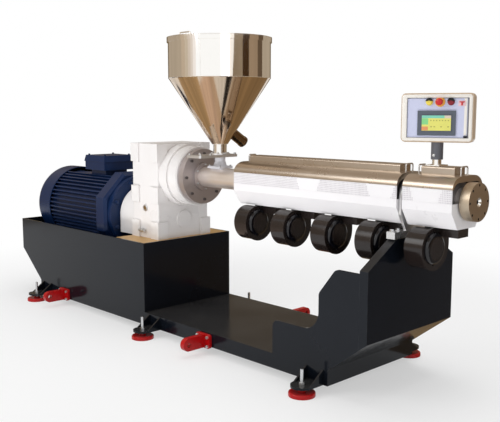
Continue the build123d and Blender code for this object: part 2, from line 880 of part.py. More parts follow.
def barrel_support():
    """Steel yoke between the covers, standing on the end frame."""
    half = support_width / 2
    neck = support_neck_width / 2
    foot_top = end_frame_top + support_foot_height
    waist = foot_top + support_waist_rise
    plate = outline((-neck, end_frame_top), (neck, end_frame_top), (neck, foot_top), (half, waist),
                    (half, axis_height), (-half, axis_height), (-half, waist), (-neck, foot_top))
    plate += Pos(0, axis_height) * Circle(support_width / 2)
    plate -= Pos(0, axis_height) * Circle(barrel_radius + fit_gap)
    yoke = along(plate, front_x - support_thickness, front_x)
    return yoke + block(end_frame_x, front_x, -support_foot_width / 2, support_foot_width / 2,
                        end_frame_top, foot_top)


def scroll_section():
    """Spiral casing outline: three arcs of growing radius that end in the upward outlet."""
    y, z = blower_axis_y, blower_axis_height
    tongue_y = y + tongue_offset
    tongue_angle = degrees(acos(tongue_offset / scroll_radius))
    outlet = cover_bottom - outlet_drop
    top = CenterArc((y, z), scroll_radius, tongue_angle, 180 - tongue_angle)
    lower = CenterArc((y + scroll_growth, z), scroll_radius + scroll_growth, 180, 90)
    far_radius = scroll_radius + 2 * scroll_growth
    far = CenterArc((y + scroll_growth, z + scroll_growth), far_radius, 270, 90)
    edges = [Line((tongue_y, outlet), top @ 0), top, lower, far, Line(far @ 1, ((far @ 1).X, outlet)),
             Line(((far @ 1).X, outlet), (tongue_y, outlet))]
    return make_face(edges)


def blower(index):
    """Scroll blower with a lipped round inlet and a flat plenum under the cover."""
    back = blower_station(index)
    front = back + scroll_width
    y, z = blower_axis_y, blower_axis_height
    casing = along(scroll_section(), back, front)
    casing += along(offset(scroll_section(), amount=seam_lip), front - seam_width, front)
    casing += disc(inlet_radius + inlet_lip, front, front + inlet_lip_height, y, z)
    casing -= disc(inlet_radius, front - inlet_depth, front + inlet_lip_height, y, z)
    casing += disc(hub_radius, front - inlet_depth, front - inlet_depth + hub_length, y, z)
    casing += disc(blower_motor_radius, back - blower_motor_length, back, y, z)
    half = plenum_width / 2
    neck = block(back, front, y + tongue_offset, half, cover_bottom - outlet_drop, cover_bottom)
    plenum = block(back + plenum_setback, back + blower_pitch - plenum_gap, -half, half,
                   cover_bottom - plenum_height, cover_bottom)
    foot_top = end_frame_top + support_foot_height
    relief = block(end_frame_x - plenum_relief, front_x, -half, half, end_frame_top, foot_top + plenum_relief)
    return casing + neck + (plenum - relief)


def die_flange():
    """Round die flange with its bolt circle and the melt bore."""
    flange = disc(die_bolt_circle / 2 + die_edge, die_x, die_face_x)
    flange -= disc(melt_bore / 2, die_x, die_face_x)
    for index in range(die_bolt_count):
        angle = radians(index * 360 / die_bolt_count)
        y = die_bolt_circle / 2 * cos(angle)
        z = axis_height + die_bolt_circle / 2 * sin(angle)
        flange -= disc(die_bolt_diameter / 2, die_face_x - die_bolt_depth, die_face_x, y, z)
    return flange


def panel_socket():
    """Fixed foot of the panel post on the hood's ridge, with the spigot the post turns on."""
    foot_top = ridge_top + socket_flange_thickness
    flange = Rectangle(socket_flange_width, socket_flange_width)
    foot = Pos(panel_x, 0, ridge_top) * extrude(flange, amount=socket_flange_thickness)
    return foot + upright(socket_radius, panel_x, 0, foot_top, post_bottom + spigot_length)


def panel_post():
    """Tube that turns on the spigot and carries the panel."""
    tube = upright(post_radius, panel_x, 0, post_bottom, case_bottom)
    bore_top = post_bottom + spigot_length + fit_gap
    return tube - upright(socket_radius + fit_gap, panel_x, 0, post_bottom, bore_top)


def on_panel(shape):
    """Place a shape drawn facing -Y about the panel's middle."""
    return Pos(panel_x, 0, case_middle) * Rot(0, 0, panel_turn) * shape


def panel_case():
    """Flat case with rounded corners."""
    case = across(RectangleRounded(case_width, case_height, case_round), -case_depth / 2, case_depth / 2)
    return on_panel(fillet(case.faces().filter_by(Axis.Y).edges(), case_edge_round))


def panel_face():
    """Thin front plate of the panel."""
    front = -case_depth / 2
    return on_panel(across(Rectangle(face_width, face_height), front - face_thickness, front))


def panel_screen():
    """Raised bezel of the screen."""
    front = -case_depth / 2 - face_thickness
    middle = bezel_margin + (bezel_height - face_height) / 2
    bezel = Pos(0, middle) * Rectangle(bezel_width, bezel_height)
    return on_panel(across(bezel, front - bezel_thickness, front))


def panel_buttons():
    """Row of four buttons over the screen, the second one a mushroom stop button on a ring."""
    front = -case_depth / 2 - face_thickness
    plain = across(Circle(button_radius), front - button_height, front)
    stop = across(Circle(stop_ring_radius), front - stop_ring_height, front)
    stop += across(Circle(button_radius), front - stop_height, front)
    stop += across(Circle(stop_radius), front - stop_height, front - stop_height + stop_head_height)
    buttons = []
    for index, button in enumerate((plain, stop, plain, plain)):
        x = button_row_offset + (index - 1) * button_pitch
        buttons.append(on_panel(Pos(x, 0, face_height / 2 - button_margin) * button))
    return group(buttons)


parts = {
    "near_side_plate": side_plate(-half_base, -inner_half),
    "far_side_plate": side_plate(inner_half, half_base),
    "deck_plate": deck_plate(),
    "rear_end_plate": rear_end_plate(),
    "box_front_plate": box_front_plate(),
    "gearbox_bed_plate": gearbox_bed_plate(),
    "motor_beams": motor_beams(),
    "end_frame": end_frame(),
    "front_skirt": front_skirt(),
    "foot_brackets": foot_brackets(),
    "foot_studs": foot_studs(),
    "foot_pads": foot_pads(),
    "lifting_lugs": lifting_lugs(),
    "motor_frame": motor_frame(),
    "motor_end_shield": motor_end_shield(),
    "motor_fan_cowl": motor_fan_cowl(),
    "motor_terminal_box": motor_terminal_box(),
    "lantern_housing": lantern_housing(),
    "gearbox_housing": gearbox_housing(),
    "gearbox_shaft_cover": gearbox_shaft_cover(),
    "barrel_flange": barrel_flange(),
    "barrel_tube": barrel_tube(),
    "barrel_heaters": barrel_heaters(),
    "feed_throat": feed_throat(),
    "gate_plate": gate_plate(),
    "hopper_shell": hopper_shell(),
    "hopper_rim": hopper_rim(),
    "hopper_drain": hopper_drain(),
    "hopper_lid": hopper_lid(),
    "lid_handle": lid_handle(),
    "long_trough": trough(long_cover_x, long_cover_end_x),
    "long_hood": hood(long_cover_x, long_cover_end_x),
    "short_trough": trough(short_cover_x, short_cover_end_x),
    "short_hood": hood(short_cover_x, short_cover_end_x),
    "hood_handles": hood_handles(),
    "barrel_support": barrel_support(),
    "die_flange": die_flange(),
    "panel_socket": panel_socket(),
    "panel_post": panel_post(),
    "panel_case": panel_case(),
    "panel_face": panel_face(),
    "panel_screen": panel_screen(),
    "panel_buttons": panel_buttons(),
}
for number in range(blower_count):
    parts[f"blower_{number + 1}"] = blower(number)

os.makedirs("parts", exist_ok=True)
for node, shape in parts.items():
    export_step(shape, f"parts/{node}.step")
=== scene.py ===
"""Studio scene of a single screw plastic extruder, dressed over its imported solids."""
import logging
import math
from collections.abc import Callable, Iterable, Sequence
from dataclasses import dataclass
from enum import Enum

import bmesh
import bpy
from mathutils import Matrix, Vector


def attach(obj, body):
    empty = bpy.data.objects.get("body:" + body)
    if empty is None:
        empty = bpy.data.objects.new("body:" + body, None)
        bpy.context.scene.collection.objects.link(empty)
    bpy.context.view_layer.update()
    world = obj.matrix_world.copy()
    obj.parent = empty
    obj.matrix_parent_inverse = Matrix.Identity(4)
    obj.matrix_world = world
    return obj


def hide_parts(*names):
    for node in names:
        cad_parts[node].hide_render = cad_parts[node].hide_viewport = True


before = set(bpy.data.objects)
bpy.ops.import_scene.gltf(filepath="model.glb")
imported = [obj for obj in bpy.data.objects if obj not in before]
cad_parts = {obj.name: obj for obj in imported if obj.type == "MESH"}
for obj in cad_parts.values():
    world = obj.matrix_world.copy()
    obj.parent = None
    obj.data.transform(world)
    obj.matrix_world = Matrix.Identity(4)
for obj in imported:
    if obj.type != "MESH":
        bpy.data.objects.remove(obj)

LOG = logging.getLogger("extruder")
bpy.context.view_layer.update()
MM = 0.001
WHITE = (1.0, 1.0, 1.0, 1.0)
UP, NEAR, FAR = (0.0, 0.0, 1.0), (0.0, -1.0, 0.0), (0.0, 1.0, 0.0)
FRONT, REAR = (1.0, 0.0, 0.0), (-1.0, 0.0, 0.0)
# Shares of an axis: a direction with more than the first runs along it, one with less than the second across it
ALONG, ACROSS = 0.9, 0.1
# Range that most values of a noise lie in
NOISE_LOW, NOISE_HIGH = 0.3, 0.7
# Radians that a wave texture runs through in one unit
WAVE_RADIANS = 20
# Share to which a pattern is scaled along the rolling direction, which draws it out
ROLLED_SCALE = 0.04
# Widths of worn edges and of the chips that break them up
EDGE_MM, CHIP_MM = 3.0, 40.0
DUST_COLOUR = "#b8b0a4"

Tree = bpy.types.NodeTree
Socket = bpy.types.NodeSocket
PlaceTest = Callable[[Vector, Vector], bool]


class Body(Enum):
    """Bodies of the part that added pieces ride on."""

    MACHINE = "machine"
    PANEL = "panel"


class Axis(Enum):
    """Directions that turned pieces and arrays run along."""

    X = (1.0, 0.0, 0.0)
    Y = (0.0, 1.0, 0.0)
    Z = (0.0, 0.0, 1.0)

    @property
    def vector(self) -> Vector:
        """The axis as a vector."""
        return Vector(self.value)


class Grain(Enum):
    """How a surface was worked, which sets the pattern of its relief."""

    SPRAYED = "sprayed"
    CAST = "cast"
    ROLLED = "rolled"
    TURNED = "turned"
    MOULDED = "moulded"


def linear(hex_colour: str) -> tuple[float, float, float, float]:
    """Turn an sRGB hex colour to linear light.

    Args:
        hex_colour: Colour as six hex digits after a hash sign.

    Returns:
        Linear red, green, blue and an alpha of one.
    """
    channels = [int(hex_colour[i:i + 2], 16) / 255 for i in (1, 3, 5)]
    low, high = [c / 12.92 for c in channels], [((c + 0.055) / 1.055) ** 2.4 for c in channels]
    red, green, blue = [a if c <= 0.04045 else b for c, a, b in zip(channels, low, high)]
    return red, green, blue, 1.0


def per_mm(size_mm: float) -> float:
    """Texture scale that gives a pattern of one size in millimetres."""
    return 1.0 / (size_mm * MM)


def add_node(tree: Tree, kind: str, inputs: dict | None = None, out: int | str = 0,
             **settings: object) -> Socket | None:
    """Add a shader node, set its properties and fill or link its inputs.

    Args:
        tree: Node tree that takes the node.
        kind: Blender's name of the node's type, without its prefix.
        inputs: Values or output sockets by the name or place of an input.
        out: Name or place of the output that is wanted.
        **settings: Properties of the node by name.

    Returns:
        The wanted output, or none from a node without outputs.
    """
    node = tree.nodes.new(f"ShaderNode{kind}")
    for name, value in settings.items():
        setattr(node, name, value)
    for name, value in (inputs or {}).items():
        if isinstance(value, Socket):
            tree.links.new(value, node.inputs[name])
        else:
            node.inputs[name].default_value = value
    return node.outputs[out] if len(node.outputs) else None


def bare_material(name: str) -> bpy.types.Material:
    """Start a material with an empty node tree.

    Args:
        name: Name of the material.

    Returns:
        The new material.
    """
    material = bpy.data.materials.new(name)
    material.use_nodes = True
    material.node_tree.nodes.clear()
    return material


@dataclass(frozen=True)
class Finish:
    """One real surface finish, from which a material is made.

    Attributes:
        name: Common name of the material and how it was worked.
        colour: Its colour as sRGB hex.
        roughness: Roughness of a clean patch.
        metallic: One for bare metal.
        grain: How the surface was worked.
        grain_mm: Size of the relief's pattern.
        relief_mm: Height of the relief.
        drift: How far the colour strays, as a share.
        drift_mm: Size of the patches in which it strays.
        smear: How far the roughness strays.
        coat: Weight of a clear coat.
        dust: Share of pale dust on faces that look up.
        worn: Colour that shows through on edges, if they are worn.
        ior: Refraction of the top layer, which sets how much it mirrors.
        round_mm: Radius that edges seem to have.
        centre: Point that turned rings run round.
        along: Axis that rolled grain runs along or turned rings run round.
    """

    name: str
    colour: str
    roughness: float
    metallic: float = 0.0
    grain: Grain = Grain.SPRAYED
    grain_mm: float = 30.0
    relief_mm: float = 0.08
    drift: float = 0.10
    drift_mm: float = 320.0
    smear: float = 0.08
    coat: float = 0.0
    dust: float = 0.0
    worn: str | None = None
    ior: float = 1.5
    round_mm: float = 1.5
    centre: tuple[float, float, float] = (0.0, 0.0, 1.0)
    along: Axis = Axis.X

    def material(self) -> bpy.types.Material:
        """Make the finish's material on first use.

        Returns:
            The material.
        """
        made = bpy.data.materials.get(self.name)
        if made is None:
            made = bare_material(self.name)
            self.shade(made.node_tree)
        return made

    def shifted(self, share: float) -> tuple[float, ...]:
        """The finish's colour in linear light, brighter or darker by a share."""
        return tuple(min(1.0, c * (1 + share)) for c in linear(self.colour)[:3]) + (1.0,)

    def shade(self, tree: Tree) -> None:
        """Fill a material's tree.

        Args:
            tree: Empty node tree of the material.
        """
        place = add_node(tree, "TexCoord", out="Object")
        patches = add_node(tree, "TexNoise", {
            "Vector": place, "Scale": per_mm(self.drift_mm), "Detail": 5.0, "Roughness": 0.6})
        colour = add_node(tree, "MixRGB", {
            "Fac": patches, "Color1": self.shifted(-self.drift), "Color2": self.shifted(self.drift)})
        rough = add_node(tree, "MapRange", {
            "Value": patches, "From Min": NOISE_LOW, "From Max": NOISE_HIGH,
            "To Min": max(0.02, self.roughness - self.smear), "To Max": self.roughness + self.smear})
        rounded = add_node(tree, "Bevel", {"Radius": self.round_mm * MM}, samples=4)
        face = add_node(tree, "NewGeometry", out="Normal")
        colour = self.tone(tree, place, colour)
        if self.worn is not None:
            colour = self.wear(tree, place, face, colour)
        if self.dust > 0:
            colour = self.settle(tree, face, patches, colour)
        bump = add_node(tree, "Bump", {
            "Strength": 1.0, "Distance": self.relief_mm * MM, "Height": self.relief(tree, place), "Normal": rounded})
        shader = add_node(tree, "BsdfPrincipled", {
            "Base Color": colour, "Metallic": self.metallic, "Roughness": rough, "Normal": bump,
            "Coat Weight": self.coat, "Coat Roughness": 0.05, "IOR": self.ior})
        add_node(tree, "OutputMaterial", {"Surface": shader})

    def tone(self, tree: Tree, place: Socket, colour: Socket) -> Socket:
        """Leave the colour as it is, for finishes that paint no reflection streaks into it."""
        return colour

    def relief(self, tree: Tree, place: Socket) -> Socket:
        """Height pattern of the worked surface.

        Args:
            tree: Node tree of the material.
            place: Object coordinates.

        Returns:
            Socket with the height.
        """
        scale = per_mm(self.grain_mm)
        if self.grain is Grain.TURNED:
            centred = add_node(tree, "Mapping", {"Vector": place, "Location": tuple(-c for c in self.centre)})
            return add_node(tree, "TexWave", {
                "Vector": centred, "Scale": scale / WAVE_RADIANS, "Distortion": 0.4, "Detail": 2.0}, "Fac",
                wave_type="RINGS", rings_direction=self.along.name)
        if self.grain is Grain.ROLLED:
            stretch = tuple(ROLLED_SCALE if a > 0.5 else 1.0 for a in self.along.value)
            place = add_node(tree, "Mapping", {"Vector": place, "Scale": stretch})
        detail = 6.0 if self.grain is Grain.CAST else 2.0
        return add_node(tree, "TexNoise", {"Vector": place, "Scale": scale, "Detail": detail, "Roughness": 0.55})

    def wear(self, tree: Tree, place: Socket, face: Socket, colour: Socket) -> Socket:
        """Let the worn colour show along edges, broken up by chips.

        Args:
            tree: Node tree of the material.
            place: Object coordinates.
            face: Normal of the face.
            colour: Colour of the clean finish.

        Returns:
            Socket with the worn colour mixed in.
        """
        wide = add_node(tree, "Bevel", {"Radius": EDGE_MM * MM}, samples=4)
        flat = add_node(tree, "VectorMath", {0: wide, 1: face}, "Value", operation="DOT_PRODUCT")
        edge = add_node(tree, "MapRange", {"Value": flat, "From Min": 0.99, "From Max": 0.88})
        chips = add_node(tree, "TexNoise", {"Vector": place, "Scale": per_mm(CHIP_MM), "Detail": 6.0})
        broken = add_node(tree, "MapRange", {"Value": chips, "From Min": 0.45, "From Max": 0.65, "To Max": 0.7})
        share = add_node(tree, "Math", {0: edge, 1: broken}, operation="MULTIPLY")
        return add_node(tree, "MixRGB", {"Fac": share, "Color1": colour, "Color2": linear(self.worn)})

    def settle(self, tree: Tree, face: Socket, patches: Socket, colour: Socket) -> Socket:
        """Let pale dust lie on faces that look up.

        Args:
            tree: Node tree of the material.
            face: Normal of the face.
            patches: Noise that breaks the dust up.
            colour: Colour of the clean finish.

        Returns:
            Socket with the dust mixed in.
        """
        rise = add_node(tree, "SeparateXYZ", {"Vector": face}, "Z")
        upward = add_node(tree, "MapRange", {
            "Value": rise, "From Min": 0.5, "From Max": 1.0, "To Max": 2 * self.dust})
        share = add_node(tree, "Math", {0: upward, 1: patches}, operation="MULTIPLY")
        return add_node(tree, "MixRGB", {"Fac": share, "Color1": colour, "Color2": linear(DUST_COLOUR)})


@dataclass(frozen=True)
class PaintedReflectionSheet(Finish):
    """Sheet with painted reflection streaks, lighter and darker, that run from an upright axis outwards.

    Attributes:
        streaks: How far the painted reflection streaks darken and brighten the colour, as a share.
        streak_count: About how many streaks there are in a quarter turn.
    """

    streaks: float = 0.3
    streak_count: float = 3.0

    def tone(self, tree: Tree, place: Socket, colour: Socket) -> Socket:
        """Paint reflection streaks into the colour, darker and brighter.

        Args:
            tree: Node tree of the material.
            place: Object coordinates.
            colour: Colour of the clean finish.

        Returns:
            Socket with the streaked colour.
        """
        # Light and dark bands round the axis: painted reflections in the sheet's colour
        centred = add_node(tree, "Mapping", {
            "Vector": place, "Location": tuple(-c for c in self.centre), "Scale": (1.0, 1.0, 0.0)})
        outward = add_node(tree, "VectorMath", {0: centred}, operation="NORMALIZE")
        streak = add_node(tree, "TexNoise", {
            "Vector": outward, "Scale": self.streak_count, "Detail": 5.0, "Roughness": 0.7})
        level = add_node(tree, "MapRange", {
            "Value": streak, "From Min": NOISE_LOW, "From Max": NOISE_HIGH,
            "To Min": 1 - self.streaks, "To Max": 1 + self.streaks})
        return add_node(tree, "VectorMath", {0: colour, "Scale": level}, operation="SCALE")


@dataclass(frozen=True)
class Glow(Finish):
    """Lit field of the screen behind its gloss glass.

    Attributes:
        roughness: Roughness of the glass.
        drift_mm: Size of the patches in which the light strays.
        dots_mm: Size of the screen's dots, drawn about four times as large as real ones.
        light: Strength of the back light.
    """

    roughness: float = 0.12
    drift_mm: float = 60.0
    dots_mm: float = 1.2
    light: float = 0.9

    def shade(self, tree: Tree) -> None:
        """Fill a material's tree with lit dots under a dark gloss sheet.

        Args:
            tree: Empty node tree of the material.
        """
        place = add_node(tree, "TexCoord", out="Object")
        dots = add_node(tree, "TexChecker", {
            "Vector": place, "Scale": per_mm(self.dots_mm), "Color1": linear(self.colour),
            "Color2": self.shifted(-self.drift)})
        cloud = add_node(tree, "TexNoise", {"Vector": place, "Scale": per_mm(self.drift_mm), "Detail": 2.0})
        level = add_node(tree, "MapRange", {"Value": cloud, "To Min": 0.85 * self.light, "To Max": 1.1 * self.light})
        shader = add_node(tree, "BsdfPrincipled", {
            "Base Color": linear("#050505"), "Roughness": self.roughness, "Emission Color": dots,
            "Emission Strength": level})
        add_node(tree, "OutputMaterial", {"Surface": shader})


def gloss_polymer(name: str, colour: str, roughness: float = 0.25, drift: float = 0.04) -> Finish:
    """Moulded gloss polymer of one colour."""
    return Finish(name, colour, roughness, 0.0, Grain.MOULDED, 6.0, 0.02, drift=drift)


# Gloss enamel on mild steel plate: blue black, with a soft peel in the shine and pale chips on its edges
BLACK_ENAMEL = Finish("black_enamel_on_steel_plate", "#10141b", 0.14, relief_mm=0.03, dust=0.05, worn="#3c3d40",
                      drift=0.2, smear=0.05, ior=1.3)
# Machined plate left bare under a film of oil: warm tan, with long milling marks
OILED_PLATE = Finish("oiled_milled_steel_plate", "#c8a269", 0.42, 0.35, Grain.ROLLED, 8.0, 0.06, along=Axis.Y)
# Navy enamel over cast iron: satin, with the grain of the casting showing through
NAVY_CAST = Finish("navy_enamel_on_cast_iron", "#0c244a", 0.34, 0.0, Grain.CAST, 16.0, 0.2, dust=0.03,
                   worn="#3a5078", ior=1.36)
# White enamel over cast iron: bright, a little uneven, grey at the rubbed edges
WHITE_CAST = Finish("white_enamel_on_cast_iron", "#eeebea", 0.3, 0.0, Grain.CAST, 22.0, 0.15, coat=0.15,
                    drift=0.02, worn="#bdb9b7", round_mm=3.0)
# White powder coat on folded sheet: smooth and even, with a fine peel
WHITE_COAT = Finish("white_powder_coat_on_sheet", "#f1eff1", 0.32, relief_mm=0.04, grain_mm=18.0, drift=0.015,
                    worn="#cccacc")
# Pale grey sheet behind the vent holes, dull: painted shade, so that the holes read as a faint grey bloom
HOLE_SHADE_SHEET = Finish("painted_hole_shade_sheet", "#cfc9cf", 0.6, 0.1, Grain.CAST, 3.0, 0.1)
# Mirror polished stainless sheet: clear reflections, drawn out a little along the rolling direction
STAINLESS = Finish("polished_stainless_sheet", "#faf8f4", 0.06, 1.0, Grain.ROLLED, 60.0, 0.04, drift=0.03,
                   smear=0.02)
# Satin stainless sheet of the hoods: the same metal, brushed along its length, so that it only shows soft bands; its
# darker warm tint is a painted reflection of the warm surroundings
HOOD_STAINLESS = Finish("satin_stainless_sheet", "#beb2a4", 0.28, 1.0, Grain.ROLLED, 40.0, 0.05, drift=0.04,
                        smear=0.04)
# Polished stainless cone; its straw tint and the light and dark streaks down its slope are painted reflections of the
# warm surroundings
CONE_STAINLESS = PaintedReflectionSheet("stainless_sheet_painted_reflection", "#d2bfa9", 0.1, 1.0, Grain.ROLLED, 60.0, 0.04,
                               drift=0.04, smear=0.03, along=Axis.Z, centre=(0.065, 0.0, 0.0))
# Drain tube, browned by its welding heat
BROWN_TUBE = Finish("browned_stainless_tube", "#8a7052", 0.16, 1.0, Grain.ROLLED, 30.0, 0.04, drift=0.06,
                    along=Axis.Z)
# Bright drawn rod of the handles
BRIGHT_ROD = Finish("bright_drawn_rod", "#dedcda", 0.22, 1.0, Grain.ROLLED, 6.0, 0.02, along=Axis.Y)
# Turned and ground barrel steel: grey brown, with fine rings round the axis
BARREL_STEEL = Finish("turned_barrel_steel", "#efe6df", 0.34, 0.75, Grain.TURNED, 4.0, 0.04, smear=0.06)
# Blued flange steel: darker than the barrel, with turning marks on its face
FLANGE_STEEL = Finish("blued_flange_steel", "#b8b0b0", 0.4, 0.75, Grain.TURNED, 6.0, 0.05)
# Bronze tinted die steel, straw coloured from heat, with turning rings on the face
DIE_STEEL = Finish("heat_tinted_die_steel", "#bfb09b", 0.36, 1.0, Grain.TURNED, 5.0, 0.05)
# Bright milled steel, nearly white
MILLED_STEEL = Finish("bright_milled_steel", "#dcdcdd", 0.3, 0.85, Grain.ROLLED, 6.0, 0.04, along=Axis.Y)
# Pale throat casting under a thin grey white wash
CAST_STEEL = Finish("washed_cast_steel", "#e2e2e8", 0.45, 0.2, Grain.CAST, 12.0, 0.1, drift=0.03)
# Zinc plate on studs, nuts and screws: pale and a little blue
ZINC_PLATE = Finish("zinc_plate_on_steel", "#d0d2d4", 0.3, 1.0, Grain.CAST, 6.0, 0.03)
# Black oxide on socket head screws: dark with an oily sheen; the same dark colour lines the die's holes and melt
# channel as painted shade
BLACK_OXIDE_AND_SHADE = Finish("black_oxide_screws_and_painted_shade", "#2a2928", 0.38, 0.8, Grain.CAST, 6.0, 0.03)
# Phosphate on the barrel flange's screws: grey, close to the flange's own colour
GREY_SCREW = Finish("phosphated_screws", "#6e6a69", 0.45, 0.8, Grain.CAST, 6.0, 0.03)
# Cast aluminium heater shells: dull grey with a sandy skin
HEATER_METAL = Finish("cast_aluminium_heater", "#8d8d90", 0.5, 0.9, Grain.CAST, 10.0, 0.2)
# Brown black enamel on pressed blower casings: deep gloss
BLOWER_ENAMEL = Finish("brown_black_enamel_on_pressings", "#221b19", 0.2, relief_mm=0.05, dust=0.03,
                       worn="#3a302c", ior=1.45)
# Dull black polymer of the glands, latch and button shades; the same black is painted shade on the disc in the cowl's
# inlet
BLACK_POLYMER_AND_SHADE = Finish("moulded_black_polymer_and_painted_shade", "#0c0b0b", 0.5, 0.0, Grain.MOULDED, 12.0, 0.05, ior=1.4)
# Gloss black polymer of the blowers' rounded cap rims, blacker than the cap's face: painted shade on the rounded side
RIM_SHADE_POLYMER = Finish("gloss_black_rim_painted_shade", "#0a0a10", 0.16, 0.0, Grain.MOULDED, 10.0, 0.02, smear=0.03)
# Red enamel on feet and lugs: strong gloss, dark chips on the edges
RED_ENAMEL = Finish("red_enamel_on_castings", "#b80e12", 0.22, 0.0, Grain.CAST, 14.0, 0.12, worn="#6b1214",
                    dust=0.02, ior=1.36)
# Grey enamel on the post's tube
GREY_ENAMEL = Finish("grey_enamel_on_tube", "#5c5d64", 0.34, worn="#8f9096")
# Cream metallic paint on the panel's case
CREAM_PAINT = Finish("cream_metallic_paint", "#cdb69c", 0.32, 0.3, coat=0.2, grain_mm=12.0, drift=0.05)
# White gloss trim round the panel's face; the same white paints a reflection strip on the face
TRIM_AND_REFLECTION_PAINT = Finish("white_gloss_trim_and_painted_reflection", "#f6f1e9", 0.25, coat=0.2, drift=0.02)
# Printed film, lavender grey, with the fine tooth of a polyester sheet
FACE_FILM = Finish("lavender_polyester_film", "#d0d4ee", 0.42, 0.0, Grain.MOULDED, 5.0, 0.03, drift=0.03)
# Soft grey rubber of the seal inside the trim; its strips, widest on the right, also paint the shadow of the gap
# between frame and face
SEAL_RUBBER_AND_SHADOW = Finish("grey_seal_rubber_and_painted_shadow", "#77777f", 0.6, 0.0, Grain.MOULDED, 4.0, 0.05, drift=0.06)
# Moulded bezel: dark grey polymer with a fine spark texture
BEZEL_POLYMER = Finish("dark_grey_moulded_bezel", "#565d68", 0.45, 0.0, Grain.MOULDED, 4.0, 0.05, drift=0.05)
# Amber oil behind a clear lens
OIL_GLASS = Finish("oil_behind_glass", "#7a5a2c", 0.06, coat=0.8, grain_mm=10.0, relief_mm=0.01)
# Gloss polymers of the buttons
YELLOW_POLYMER = gloss_polymer("yellow_gloss_polymer", "#f3dc5a")
AMBER_POLYMER = gloss_polymer("amber_gloss_polymer", "#f0b04c")
RED_POLYMER = gloss_polymer("red_gloss_polymer", "#cf2026", 0.22, 0.05)
PINK_POLYMER = gloss_polymer("pink_gloss_polymer", "#f0ccd2", drift=0.03)
MAROON_POLYMER = gloss_polymer("maroon_gloss_polymer", "#8a1626", drift=0.05)
# Lit fields of the screen: even colours with a fine dot pattern
FIELD_GLOW = Glow("lit_yellow_field", "#f2ee78")
HEAD_GLOW = Glow("lit_teal_band", "#86dcc0")
PALE_GLOW = Glow("lit_pale_field", "#ead9c4")
SIDE_GLOW = Glow("lit_green_field", "#8fe393")
ALARM_GLOW = Glow("lit_orange_field", "#ef9f66")
MARK_GLOW = Glow("lit_olive_marks", "#bdb95c")


